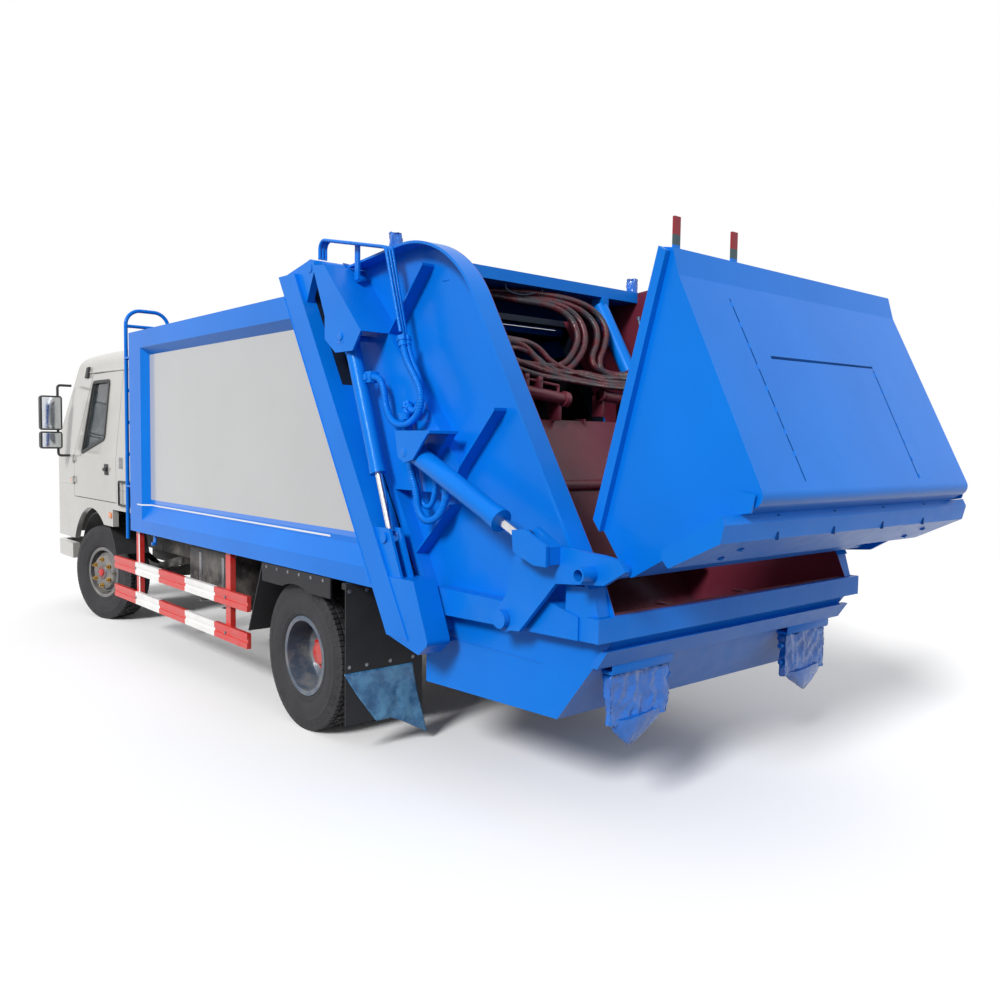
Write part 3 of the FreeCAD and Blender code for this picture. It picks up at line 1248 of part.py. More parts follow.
# Filler: side plates, rim, raised fronts and guides
rim_edge = "rim_slope_zero + slant_share * (%s)"
front_edge = "filler_front_zero + slant_share * (%s)"
rim_start = ("-rim_front_back", "rim_front_z")
rim_corner = ("-rim_corner_back", "rim_corner_z")
side_outline = [(front_edge % "hinge_z - hinge_eye_radius * 1.4", "hinge_z - hinge_eye_radius * 1.4"),
                ("hinge_x + hinge_eye_radius * 2", "hinge_z"),
                ("hinge_x", "hinge_z + hinge_eye_radius * 1.2"), rim_start, rim_corner,
                (rim_edge % "rim_low_z", "rim_low_z"), ("-lip_back + lip_skin", "lip_high"),
                ("-lip_back + lip_skin", "lip_low"),
                ("-hull_rear_back", "hull_rear_low"), ("-hull_front_back", "hull_front_low"),
                ("-hull_front_back", "hull_front_top"),
                (front_edge % "hull_front_top", "hull_front_top")]
side_plate = prism("SidePlate", "XZ", side_outline, "filler_half - filler_plate", "filler_half",
                   rounds={4: "rim_radius"})
rim_out = prism("RimOut", "XZ", [rim_start, rim_corner, (rim_edge % "rim_low_z", "rim_low_z"),
                                 ("-rim_front_back", "rim_low_z")],
                "filler_half", "rim_outer", rounds={1: "rim_radius"})
rim_shift = "rim_flange * slant_length_share"
rim_in = prism("RimIn", "XZ", [("-rim_front_back + overrun", "rim_front_z - rim_flange"),
               (rim_edge % "rim_corner_z - rim_flange" + " + " + rim_shift, "rim_corner_z - rim_flange"),
               (rim_edge % "rim_low_z - overrun" + " + " + rim_shift, "rim_low_z - overrun"),
                               ("-rim_front_back + overrun", "rim_low_z - overrun")],
               "filler_half - overrun", "rim_outer + overrun", rounds={1: "rim_radius - rim_flange"})
guide_bars = []
for name, ahead in (("Front", "guide_width / 2"), ("Rear", "-guide_width / 2 - guide_depth")):
    zero = "carriage_zero + (%s) * slant_length_share" % ahead
    reach = " + guide_depth * slant_length_share"
    low, high = "carriage_low_z - guide_width", "carriage_top_z + carriage_travel"
    guide_bars.append(prism(name + "Guide", "XZ", [(slant(zero, low), low), (slant(zero, low) + reach, low),
                            (slant(zero, high) + reach, high), (slant(zero, high), high)],
                            "filler_half - filler_plate - guide_depth", "filler_half - filler_plate"))
node("filler_sides", *both(fuse("FillerSide", side_plate, cut("RimFlange", rim_out, rim_in), *guide_bars)))

# Brackets on each side of the filler
raised_box = prism("RaisedBox", "XZ", [(front_edge % "hull_front_top + front_flange",
                                        "hull_front_top + front_flange"),
                   (front_edge % "hinge_z - hinge_eye_radius * 1.4", "hinge_z - hinge_eye_radius * 1.4"),
                   ("-rim_front_back", "rim_front_z - rim_flange"), ("-lift_top_back * 1.37",
                                                                     "lift_top_z + cheek"),
                   ("-tilt_pin_back * 1.195", "tilt_pin_z - front_flange"), ("-tilt_pin_back * 1.12",
                                                                             "tilt_pin_z - front_flange * 3"),
                   (front_edge % "tilt_pin_z - front_flange * 3" + " - front_flange",
                    "tilt_pin_z - front_flange * 3"),
                   (front_edge % "hull_front_top + front_flange" + " - front_flange",
                    "hull_front_top + front_flange")],
                   "filler_half", "raised_outer")
pivot_beam = prism("PivotBeam", "XZ", [("-pivot_beam_front_back", "pivot_beam_low"),
                                       ("-pivot_beam_rear_back", "pivot_beam_low + lip_skin * 2"),
                   ("-pivot_beam_rear_back", "pivot_beam_high"),
                                       ("-pivot_beam_rear_back + front_flange * 2.6",
                                        "pivot_beam_high + lip_skin * 2.4"),
                   ("crank_x", "pivot_beam_high"), ("-pivot_beam_front_back", "pivot_beam_high")],
                   "filler_half", "pivot_beam_outer")
lug_plate = prism("LugPlate", "XZ", [("-pivot_beam_rear_back", "pivot_beam_low + lip_skin * 2"),
                                     ("-lip_back + lip_skin * 2", "pivot_beam_low + lip_skin * 2"),
                  ("-lip_back + lip_skin * 2", "lip_high"), (rim_edge % "lug_top", "lug_top"),
                                     ("-lug_front_back", "lug_top"),
                  ("-lug_front_back", "pivot_beam_high")], "filler_half", "raised_outer")
crank_boss = cylinder("CrankBoss", "Y", ("crank_x", "crank_z"),
                      ("pivot_beam_outer", "arm_inner - cheek_gap"), "crank_boss_radius")
crank_pin = cylinder("CrankPin", "Y", ("crank_x", "crank_z"),
                     ("pivot_beam_outer", "arm_inner + arm_plate + cheek_gap"), "crank_pin_radius")
crank_cap = cylinder("CrankCap", "Y", ("crank_x", "crank_z"), ("arm_inner + arm_plate + cheek_gap",
                                                               "arm_inner + arm_plate + cheek_gap + crank_cap"),
                     "crank_cap_radius")
hinge_boss = cylinder("HingeBoss", "Y", ("hinge_x", "hinge_z"),
                      ("filler_half", "body_ear_inner - cheek_gap"), "hinge_eye_radius")
hinge_pin = cylinder("HingePin", "Y", ("hinge_x", "hinge_z"),
                     ("filler_half", "body_ear_inner + body_ear + cheek_gap"), "hinge_pin_radius")
ribs = []
for index, (start, end) in enumerate([(("-rim_corner_back * 0.82", "rim_corner_z - rim_radius / 4"),
                                       ("-lift_top_back * 1.37", "lift_top_z + cheek")),
                                      (("-rim_corner_back * 1.275", "lift_low_z * 1.515"),
                                       ("-tilt_pin_back * 1.195", "tilt_pin_z - front_flange")),
                                      (("-lift_low_back * 1.36", "lift_low_z * 1.138"),
                                       ("-lift_low_back * 1.055", "lift_low_z * 0.922"))]):
    ribs.append(prism("SideRib%d" % index, "XZ", [start, end, (end[0], end[1] + " + rib_bar"),
                                                  (start[0], start[1] + " + rib_bar")],
                      "filler_half", "raised_outer"))

# The hood that carries the lift cylinder's head
hood_inner = "lift_y + lift_barrel_radius + cheek_gap * 2"
hood_outline = [("-rim_front_back * 0.65", "rim_front_z"), ("-rim_front_back", "rim_front_z - rim_flange"),
                ("-lift_top_back * 1.37", "lift_top_z + cheek"),
                ("-lift_top_back * 1.22", "lift_top_z - lift_barrel_radius * 2"), ("-lift_top_back * 0.9",
                                                                                   "lift_top_z - lift_barrel_radius * 2"),
                ("-lift_top_back * 0.69", "lift_top_z"), ("-lift_top_back * 0.69",
                                                          "lift_top_z + lift_barrel_radius * 3")]
hood_cheek = prism("HoodCheek", "XZ", hood_outline, hood_inner, "%s + rib_bar" % hood_inner)
hood_back = prism("HoodBack", "XZ", [hood_outline[0], hood_outline[1], hood_outline[2],
                                     ("-lift_top_back * 1.37 + rib_bar * 1.5", "lift_top_z + cheek"),
                  ("-rim_front_back + rib_bar * 0.4", "rim_front_z - rim_flange - rib_bar"),
                                     ("-rim_front_back * 0.65", "rim_front_z - rim_flange")],
                  "filler_half", "%s + rib_bar" % hood_inner)
lift_pin = cylinder("LiftPin", "Y", ("lift_x", "lift_top_z"), ("filler_half", "%s + rib_bar" % hood_inner),
                    "lift_pin_radius")

# The bracket of the tilt cylinder's head
tilt_outer = "tilt_y + tilt_barrel_radius + cheek_gap"
tilt_outline = [("tilt_x + tilt_barrel_radius * 1.5", "tilt_pin_z + tilt_barrel_radius * 2.1"),
                ("tilt_x - tilt_barrel_radius * 4.1", "tilt_pin_z + tilt_barrel_radius * 2.1"),
                ("tilt_x - tilt_barrel_radius * 1.5", "tilt_pin_z - tilt_barrel_radius * 0.65"),
                ("tilt_x", "tilt_pin_z - tilt_barrel_radius"), ("tilt_x + tilt_barrel_radius",
                                                                "tilt_pin_z - tilt_barrel_radius * 0.4")]
tilt_cheeks = [prism("TiltCheekOuter", "XZ", tilt_outline, tilt_outer, "%s + rib_bar" % tilt_outer),
               prism("TiltCheekInner", "XZ", tilt_outline, "raised_outer",
                     "tilt_y - tilt_barrel_radius - cheek_gap * 2")]
tilt_top = box("TiltTop", ("tilt_x - tilt_barrel_radius * 4.1", "tilt_x + tilt_barrel_radius * 1.5"),
               ("raised_outer", "%s + rib_bar" % tilt_outer),
               ("tilt_pin_z + tilt_barrel_radius * 2.1 - rib_bar", "tilt_pin_z + tilt_barrel_radius * 2.1"))
tilt_pin = cylinder("TiltPin", "Y", ("tilt_x", "tilt_pin_z"), ("filler_half", "%s + rib_bar" % tilt_outer),
                    "tilt_pin_radius")
node("filler_brackets", *both(fuse("BracketSet", raised_box, pivot_beam, lug_plate, crank_boss, crank_pin,
                                   crank_cap, hinge_boss, hinge_pin, *ribs,
                                   hood_cheek, hood_back, lift_pin, *tilt_cheeks, tilt_top, tilt_pin)))

# Hull under the hopper, its lip and band, the roof beam, the hopper's inner trough
inside = "filler_half - filler_plate"
hull_points = [("-hull_front_back", "hull_front_top"), ("-hull_front_back", "hull_front_low"),
               ("-hull_rear_back", "hull_rear_low"),
               ("-lip_back + lip_skin", "lip_low"), ("-lip_back + lip_skin", "lip_high"),
               ("-lip_back + lip_skin + filler_plate", "lip_high"), ("-lip_back + lip_skin + filler_plate",
                                                                     "lip_low + filler_plate / 3"),
               ("-hull_rear_back + filler_plate / 2", "hull_rear_low + filler_plate"),
               ("-hull_front_back - filler_plate", "hull_front_low + filler_plate"),
               ("-hull_front_back - filler_plate", "hull_front_top")]
hull = prism("Hull", "XZ", hull_points, "-%s" % inside.replace(" - ", " + "), inside)
lip = box("Lip", ("-lip_back", "-lip_back + lip_skin"), ("-lip_half", "lip_half"), ("lip_low", "lip_high"))
lip_return = box("LipReturn", ("-lip_back + lip_skin", "-lip_back + lip_depth"),
                 ("raised_outer", "lip_half"), ("lip_low", "lip_high"))
hull_line = "-hull_rear_back - hull_slope_share * (%s - hull_rear_low)"
band = prism("Band", "XZ", [(hull_line % "band_low", "band_low"), (hull_line % "band_low" + " - band_depth",
                                                                   "band_low"),
             (hull_line % "band_high" + " - band_depth * 0.8", "band_high"), (hull_line % "band_high",
                                                                              "band_high")], "-band_half",
             "band_half")
hull_set = fuse("HullSet", hull, lip, lip_return, mirror(lip_return), band)
node("filler_hull", hull_set)
roof_beam = box("RoofBeam", ("-roof_beam_back", "-rim_front_back"), ("-%s" % inside.replace(" - ", " + "),
                                                                     inside), ("roof_plate_z",
                                                                               "roof_plate_z + filler_plate"))
roof_lips = [box("RoofLip%d" % index, (place, "%s + roof_beam" % place),
                 ("-%s" % inside.replace(" - ", " + "), inside),
                 ("roof_plate_z + filler_plate", "roof_plate_z + roof_beam")) for index,
             place in enumerate(("-roof_beam_back", "-rim_front_back - roof_beam"))]
node("filler_roof", fuse("RoofSet", roof_beam, *roof_lips))
trough_points = [("-hull_front_back - filler_plate * 6", "floor_top - filler_plate"),
                 ("-hull_front_back - hinge_back * 2.6", "hull_front_low + hinge_back"),
                 ("-hull_rear_back", "hull_rear_low + hinge_back"), ("-lip_back + lip_depth", "lip_high"),
                 ("-lip_back + lip_skin + filler_plate", "lip_high"),
                 ("-hull_rear_back - filler_plate", "hull_rear_low + hinge_back - filler_plate"),
                 ("-hull_front_back - hinge_back * 2.6 + filler_plate / 2",
                  "hull_front_low + hinge_back - filler_plate"),
                 ("-hull_front_back - filler_plate * 4.6", "floor_top - filler_plate")]
node("hopper_floor", prism("Trough", "XZ", trough_points, "-%s" % inside.replace(" - ", " + "), inside))

# Film-wrapped lamps: two under the hull's band, two on the roof's corners
lamp_box = prism("LowLamp", "XZ", [("-lamp_back", "lamp_high"), ("-lamp_back - lamp_depth", "lamp_high"),
                 ("-lamp_back - lamp_depth", "lamp_high - lamp_height"), ("-lamp_back - lamp_depth / 3",
                                                                          "lamp_high - lamp_height")],
                 "lamp_inner", "lamp_outer")
lamp_hanger = box("LampHanger", ("-lamp_back - lamp_depth", "-lamp_back - lamp_depth + rim_lip"),
                  ("(lamp_inner + lamp_outer) / 2 - lamp_depth",
                   "(lamp_inner + lamp_outer) / 2 + lamp_depth"), ("lamp_high", "band_low"))
top_lamp = cylinder("TopLamp", "Z", ("-top_lamp_back", "top_lamp_y"),
                    ("top_lamp_foot", "top_lamp_foot + top_lamp_height"), "top_lamp_radius")
low_lamp = cut("LowLampTrim", fuse("LowLampSet", lamp_box, lamp_hanger), hull_set)
node("wrapped_lamps", *both(low_lamp, top_lamp))

# Hydraulic pipes over the filler's shoulder, on one clamp
pipe_runs = []
for index in range(int(amount("pipe_count"))):
    side = "pipe_y + pipe_pitch * %d" % index
    drop = "pipe_pitch * %d" % index
    pipe_runs.append(swept("Pipe%d" % index,
                           [("-pipe_top_back", side, "hinge_z + hinge_eye_radius + pipe_radius"),
                            ("-pipe_top_back", side, "pipe_top_z"),
                           ("-pipe_clamp_back", side, "pipe_clamp_z"), ("-rim_corner_back * 0.647", side,
                                                                        "pipe_clamp_z - pipe_bend * 1.1"),
                           ("-pipe_end_back", side, "pipe_end_z + %s" % drop)], "pipe_radius",
                           "pipe_bend * 0.7"))
clamp = box("PipeClamp", ("-pipe_clamp_back - pipe_post / 2", "-pipe_clamp_back + pipe_post / 2"),
            ("rim_outer + running_fit", "pipe_y + pipe_pitch * (pipe_count - 1) + pipe_radius"),
            ("pipe_clamp_z - pipe_radius / 2", "pipe_clamp_z + pipe_radius / 2"))
clamp_post = box("PipePost", ("-pipe_clamp_back - pipe_post / 2", "-pipe_clamp_back + pipe_post / 2"),
                 ("rim_outer + running_fit", "rim_outer + rib_bar"), ("rim_front_z - rim_flange * 6",
                                                                      "pipe_clamp_z"))
node("hydraulic_pipes", fuse("PipeSet", *pipe_runs, clamp, clamp_post))

# Crank arms with the cross tube that carries the bucket, and the clevis of the rod
arm_outline = [("crank_x - cross_tube_back * (%s)" % back, "crank_z + elbow_rise * (%s)" % rise) for back,
               rise in arm_shares]
arm_plate = prism("ArmPlate", "XZ", arm_outline, "arm_inner", "arm_inner + arm_plate")
arm_ring = cylinder("ArmRing", "Y", ("crank_x", "crank_z"), ("arm_inner", "arm_inner + arm_plate"),
                    "crank_boss_radius")
arm_bore = cylinder("ArmBore", "Y", ("crank_x", "crank_z"), ("arm_inner - overrun",
                                                             "arm_inner + arm_plate + overrun"),
                    "crank_pin_radius + running_fit")
clevis_inner = "tilt_y + tilt_eye_half + cheek_gap * 2"
clevis_outline = [("elbow_x + elbow_radius * 0.6", "elbow_z + elbow_radius * 0.8"),
                  ("elbow_x - elbow_radius", "elbow_z + elbow_radius"),
                  ("elbow_x - elbow_radius * 3.6", "elbow_z - elbow_radius * 0.2"),
                  ("elbow_x - elbow_radius * 3.6", "elbow_z - elbow_radius * 1.9"),
                  ("elbow_x - elbow_radius * 2.1", "elbow_z - elbow_radius * 1.9"),
                  ("elbow_x + elbow_radius * 0.4", "elbow_z - elbow_radius")]
clevis_cheek = prism("ClevisCheek", "XZ", clevis_outline, clevis_inner, "%s + cheek" % clevis_inner)
clevis_web = prism("ClevisWeb", "XZ", [("elbow_x - elbow_radius * 2.2", "elbow_z - elbow_radius * 1.8"),
                                       ("elbow_x - elbow_radius * 3.5", "elbow_z - elbow_radius * 1.8"),
                   ("elbow_x - elbow_radius * 3.5", "elbow_z - elbow_radius * 0.3"),
                                       ("elbow_x - elbow_radius * 3.2", "elbow_z - elbow_radius * 0.3")],
                   "arm_inner + arm_plate / 2", "%s + cheek / 2" % clevis_inner)
cross_tube = cut("CrossTube", cylinder("TubeOuter", "Y", ("tube_x", "tube_z"),
                                       ("bucket_half", "cross_tube_outer"), "cross_tube_radius"),
                 cylinder("TubeInner", "Y", ("tube_x", "tube_z"), ("bucket_half + overrun",
                                                                   "cross_tube_outer + overrun"),
                          "cross_tube_radius - cross_tube_wall"))
arm = cut("Arm", fuse("ArmBody", arm_plate, arm_ring), arm_bore, cylinder("TubePass", "Y",
                                                                          ("tube_x", "tube_z"),
                                                                          ("arm_inner - overrun",
                                                                           "arm_inner + arm_plate + overrun"),
          "cross_tube_radius - cross_tube_wall"))
node("crank_arms", *both(fuse("ArmSet", arm, clevis_cheek, clevis_web, cross_tube)))

# Tipping bucket of folded plate, open towards the hopper
bucket_outer = prism("BucketOuter", "XZ", [("-bucket_mouth_back", "bucket_top_z"),
                                           ("-bucket_top_back", "bucket_top_z - bucket_wall"),
                     ("-bucket_fold_back", "bucket_fold_z"), ("-bucket_rear_back", "bucket_rear_z"),
                                           ("-bucket_low_back", "bucket_low_z"),
                     ("-bucket_foot_back", "bucket_foot_z")], "-bucket_half", "bucket_half",
                     rounds={3: "bucket_wall * 5", 4: "bucket_wall * 4"})
bucket_inner = prism("BucketInner", "XZ",
                     [("-bucket_mouth_back + overrun", "bucket_top_z - bucket_wall * 1.5"),
                     ("-bucket_top_back + bucket_wall", "bucket_top_z - bucket_wall * 2"),
                                           ("-bucket_fold_back + bucket_wall * 1.05", "bucket_fold_z"),
                     ("-bucket_rear_back + bucket_wall * 1.31", "bucket_rear_z + bucket_wall * 0.41"),
                     ("-bucket_low_back - bucket_wall * 0.27", "bucket_low_z + bucket_wall * 1.3"),
                     ("-bucket_foot_back + bucket_wall * 2.2", "bucket_foot_z + bucket_wall * 4.6")],
                     "-bucket_half + bucket_wall", "bucket_half - bucket_wall",
                     rounds={3: "bucket_wall * 4", 4: "bucket_wall * 3"})
mouth_bar = prism("MouthBar", "XZ", [("-bucket_foot_back", "bucket_foot_z"), ("-bucket_mouth_back",
                                                                              "bucket_top_z"),
                  ("-bucket_mouth_back - flange_width", "bucket_top_z - flange_width * 0.6"),
                                     ("-bucket_foot_back - flange_width",
                                      "bucket_foot_z - flange_width * 1.3")],
                  "bucket_half", "bucket_half + flange_out")
stubs = [box("Stub%d" % index, ("-bucket_top_back", "-bucket_top_back + stub_depth"),
             ("%s - stub_width / 2" % place, "%s + stub_width / 2" % place),
             ("bucket_top_z - stub_width", "bucket_top_z + stub_height - stub_width / 2")) for index,
         place in enumerate(("stub_near_y - stub_width / 4", "stub_far_y"))]
node("bucket_shell", fuse("BucketSet", cut("BucketPlates", bucket_outer, bucket_inner), mouth_bar,
                          mirror(mouth_bar), *stubs))
under_bucket = "bucket_low_z + bucket_slope_share * (%s - bucket_low_back) - running_fit"
comb_outline = [("-comb_front_back", under_bucket % "comb_front_back"),
                ("-comb_front_back", under_bucket % "comb_front_back" + " - comb_drop"),
                ("-comb_front_back - comb_drop", under_bucket % "comb_front_back" + " - comb_drop * 2"),
                ("-comb_rear_back", under_bucket % "comb_rear_back" + " - comb_height"),
                ("-comb_rear_back - comb_drop / 2", under_bucket % "comb_rear_back" + " - comb_drop"),
                ("-comb_rear_back", under_bucket % "comb_rear_back")]
node("bin_comb", prism("Comb", "XZ", comb_outline, "-comb_half", "comb_half"))

# Hydraulic cylinders, each drawn upwards from the pin of its head and leaned to its line


def ram(name, side, radius, length, eye_half, pin, rod, floor):
    """Barrel with its head's eye, bored for the pin and for the rod."""
    eye = cylinder(name + "Eye", "Y", ("0", "0"), ("%s - %s" % (side, eye_half),
                                                   "%s + %s" % (side, eye_half)), radius)
    tube = cylinder(name + "Tube", "Z", ("0", side), ("0", length), radius)
    gland = cylinder(name + "Gland", "Z", ("0", side), ("%s - %s" % (length, radius), length),
                     "%s * 1.08" % radius)
    pin_bore = cylinder(name + "PinBore", "Y", ("0", "0"), ("%s - %s - overrun" % (side, radius),
                                                            "%s + %s + overrun" % (side, radius)),
                        "%s + running_fit" % pin)
    rod_bore = cylinder(name + "RodBore", "Z", ("0", side), (floor, "%s + overrun" % length),
                        "%s + running_fit" % rod)
    return cut(name, fuse(name + "Body", eye, tube, gland), pin_bore, rod_bore)


def rod(name, side, radius, inner, reach, eye, eye_half, pin, pin_half):
    """Rod with the eye at its end and the pin that rides in it."""
    bar = cylinder(name + "Bar", "Z", ("0", side), (inner, reach), radius)
    ring = cylinder(name + "Ring", "Y", ("0", reach), ("%s - %s" % (side, eye_half),
                                                       "%s + %s" % (side, eye_half)), eye)
    shaft = cylinder(name + "Shaft", "Y", ("0", reach), ("%s - (%s)" % (side, pin_half),
                                                         "%s + %s" % (side, pin_half)), pin)
    return fuse(name, bar, ring, shaft)


tilt_turn = (Vector(0, 1, 0), "atan2(elbow_x - tilt_x; elbow_z - tilt_z)")
tilt_place = dict(x="rear_axle_x + tilt_x", z="tilt_z", turn=tilt_turn)
node("tilt_barrels", *both(ram("TiltBarrel", "tilt_y", "tilt_barrel_radius", "tilt_barrel_length",
                               "tilt_eye_half * 1.6", "tilt_pin_radius", "tilt_rod_radius",
                               "tilt_barrel_radius * 1.6")), **tilt_place)
node("tilt_rods", *both(rod("TiltRod", "tilt_y", "tilt_rod_radius", "tilt_rod_inset", "tilt_length",
                            "tilt_eye_radius", "tilt_eye_half", "tilt_pin_radius",
                            "tilt_eye_half + cheek_gap")), **tilt_place)
lift_turn = (Vector(0, 1, 0), "atan2(lift_low_x - lift_x; lift_low_z - lift_top_z)")
lift_place = dict(x="rear_axle_x + lift_x", z="lift_top_z", turn=lift_turn)
node("lift_barrels", *both(ram("LiftBarrel", "lift_y", "lift_barrel_radius", "lift_barrel_length",
                               "lift_eye_half * 1.5", "lift_pin_radius", "lift_rod_radius",
                               "lift_barrel_radius * 1.15")), **lift_place)
node("lift_rods", *both(rod("LiftRod", "lift_y", "lift_rod_radius", "lift_rod_inset", "lift_length",
                            "lift_eye_radius", "lift_eye_half", "lift_pin_radius",
                            "lift_eye_half + cheek_gap * 0.6")), **lift_place)

# Packer: a carriage between the guides, its blade, and the two rams that slide it
ride_line = "carriage_zero + slant_share * (%s)"
plate_reach = " + packer_plate * slant_length_share"
carriage_panel = prism("CarriagePanel", "XZ", [(ride_line % "carriage_low_z", "carriage_low_z"),
                                               (ride_line % "carriage_low_z" + plate_reach,
                                                "carriage_low_z"),
                       (ride_line % "carriage_top_z" + plate_reach, "carriage_top_z"),
                                               (ride_line % "carriage_top_z", "carriage_top_z")],
                       "-packer_half", "packer_half")
shoe_half = "(guide_width / 2 - cheek_gap) * slant_length_share"
shoe = prism("Shoe", "XZ", [(ride_line % "carriage_low_z" + " - " + shoe_half, "carriage_low_z"),
                            (ride_line % "carriage_low_z" + " + " + shoe_half, "carriage_low_z"),
             (ride_line % "carriage_top_z" + " + " + shoe_half, "carriage_top_z"),
                            (ride_line % "carriage_top_z" + " - " + shoe_half, "carriage_top_z")],
             "packer_half - packer_shoe", "filler_half - filler_plate - cheek_gap / 2")
blade_x, blade_z = "-carriage_low_back - guide_width * 0.2", "carriage_low_z - blade_pin_radius * 0.4"
blade_room = cylinder("BladeRoom", "Y", (blade_x, blade_z), ("-packer_half - overrun",
                                                             "packer_half + overrun"),
                      "blade_pin_radius + cheek_gap + running_fit * 4")
carriage_plate = cut("CarriagePlate", carriage_panel, blade_room)
blade_lugs = [prism("BladeLug%d" % index, "XZ",
                    [(blade_x + " - blade_pin_radius", blade_z + " - blade_pin_radius"),
                     (blade_x + " + blade_pin_radius", blade_z + " - blade_pin_radius"),
                    (ride_line % "carriage_low_z + blade_pin_radius * 3" + " + packer_plate",
                     "carriage_low_z + blade_pin_radius * 3"),
                    (ride_line % "carriage_low_z + blade_pin_radius * 3" + " - blade_pin_radius",
                     "carriage_low_z + blade_pin_radius * 3")],
                    "packer_half * %s - packer_shoe" % share, "packer_half * %s" % share) for index,
              share in enumerate((1.0, -0.9675))]
blade_bar = cylinder("BladeBar", "Y", (blade_x, blade_z), ("-packer_half", "packer_half"),
                     "blade_pin_radius * 0.6")
ram_axis = "carriage_zero - packer_ram_offset * slant_length_share + slant_share * (%s)"


def leaning_bar(name, side, radius, low, high):
    """A round bar along the packer's slide, between two heights."""
    bar = doc.addObject("Part::Cylinder", name)
    bar.Placement = Placement(Vector(), Rotation(Vector(0, 1, 0), 1))
    bind(bar, Radius=radius, Height="((%s) - (%s)) * slant_length_share" % (high, low),
         Placement__Rotation__Angle="atan(slant_share)")
    return shift(bar, ram_axis % low, side, low)


ram_low = "packer_ram_top - packer_ram_length / slant_length_share"
ram_rods, ram_lugs, ram_barrels = [], [], []
for index, sign in enumerate(("", "-")):
    side = sign + "packer_ram_y"
    ram_rods.append(leaning_bar("RamRod%d" % index, side, "packer_ram_rod", "packer_lug_z",
                                "%s + packer_ram_radius * 2" % ram_low))
    ram_lugs.append(prism("RamLug%d" % index, "XZ", [(ram_axis % "packer_lug_z" + " - packer_ram_rod * 1.4",
                                                      "packer_lug_z - packer_ram_radius"),
                          (ride_line % "packer_lug_z - packer_ram_radius * 2" + " + packer_plate / 2",
                           "packer_lug_z - packer_ram_radius * 2"),
                          (ride_line % "packer_lug_z" + " + packer_plate / 2", "packer_lug_z"),
                                                     (ram_axis % "packer_lug_z" + " + packer_ram_rod",
                                                      "packer_lug_z + packer_ram_rod"),
                          (ram_axis % "packer_lug_z" + " - packer_ram_rod * 1.4",
                           "packer_lug_z + packer_ram_rod")],
                          "%s - packer_ram_rod" % side, "%s + packer_ram_rod" % side))
    barrel = cut("RamBarrel%d" % index, leaning_bar("RamTube%d" % index, side, "packer_ram_radius", ram_low,
                                                    "packer_ram_top"),
                 leaning_bar("RamBore%d" % index, side, "packer_ram_rod + running_fit",
                             "%s - overrun" % ram_low, "packer_ram_top - packer_ram_radius / 2"))
    head = box("RamHead%d" % index, (ram_axis % "packer_ram_top" + " - packer_ram_radius",
                                     ram_axis % "packer_ram_top" + " + packer_ram_radius"),
               ("%s - packer_ram_rod" % side, "%s + packer_ram_rod" % side),
               ("packer_ram_top - packer_ram_radius / 2", "roof_plate_z"))
    ram_barrels.append(fuse("Ram%d" % index, barrel, head))
node("packer_rams", *ram_barrels)
node("packer_carriage", fuse("CarriageSet", carriage_plate, shoe, mirror(shoe), *blade_lugs, blade_bar,
                             *ram_rods, *ram_lugs))
blade_half = "packer_half - packer_shoe - cheek_gap"
blade_plate = prism("BladePlate", "XZ", [(blade_x + " - blade_plate / 2", blade_z),
                                         (blade_x + " + blade_plate / 2", blade_z),
                    (blade_x + " - blade_length * 0.22 + blade_plate", blade_z + " - blade_length * 0.96"),
                                         (blade_x + " - blade_length * 0.3", blade_z + " - blade_length"),
                    (blade_x + " - blade_length * 0.24", blade_z + " - blade_length * 0.9")],
                    "-(%s)" % blade_half, blade_half)
blade_tube = cylinder("BladeTube", "Y", (blade_x, blade_z), ("-(%s)" % blade_half, blade_half),
                      "blade_pin_radius")
blade_bore = cylinder("BladeBore", "Y", (blade_x, blade_z), ("-packer_half - overrun",
                                                             "packer_half + overrun"),
                      "blade_pin_radius * 0.6 + running_fit")
node("packer_blade", cut("Blade", fuse("BladeBody", blade_plate, blade_tube), blade_bore))


def finish():
    doc.recompute()
    broken = [thing.Name for thing in doc.Objects if "Invalid" in thing.State or "Error" in thing.State]
    broken += [piece.Label for piece in nodes if piece.Shape.isNull() or not piece.Shape.isValid()]
    if broken:
        raise RuntimeError("These objects failed: " + ", ".join(broken))
    os.makedirs("parts", exist_ok=True)
    for piece in nodes:
        piece.Shape.exportStep("parts/%s.step" % piece.Label)
    print("Wrote %d sub-parts." % len(nodes))


finish()
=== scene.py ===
import json
import math
import random

import bmesh
import bpy
from mathutils import Matrix, Vector, noise


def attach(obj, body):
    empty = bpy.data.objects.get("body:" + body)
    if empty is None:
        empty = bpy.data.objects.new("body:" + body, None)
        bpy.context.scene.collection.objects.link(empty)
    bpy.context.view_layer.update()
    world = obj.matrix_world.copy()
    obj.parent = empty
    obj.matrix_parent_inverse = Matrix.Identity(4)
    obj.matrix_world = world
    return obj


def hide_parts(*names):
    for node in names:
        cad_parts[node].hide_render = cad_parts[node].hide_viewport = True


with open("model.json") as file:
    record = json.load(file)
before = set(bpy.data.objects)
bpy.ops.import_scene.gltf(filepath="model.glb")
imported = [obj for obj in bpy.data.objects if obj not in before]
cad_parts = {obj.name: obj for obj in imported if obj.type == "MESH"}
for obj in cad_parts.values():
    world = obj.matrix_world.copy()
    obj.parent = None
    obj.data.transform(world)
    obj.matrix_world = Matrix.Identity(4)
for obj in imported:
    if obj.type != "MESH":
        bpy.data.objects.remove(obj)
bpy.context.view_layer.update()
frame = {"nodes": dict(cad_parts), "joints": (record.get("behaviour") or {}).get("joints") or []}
nodes = frame["nodes"]
joints = {joint["name"]: joint for joint in frame["joints"]}
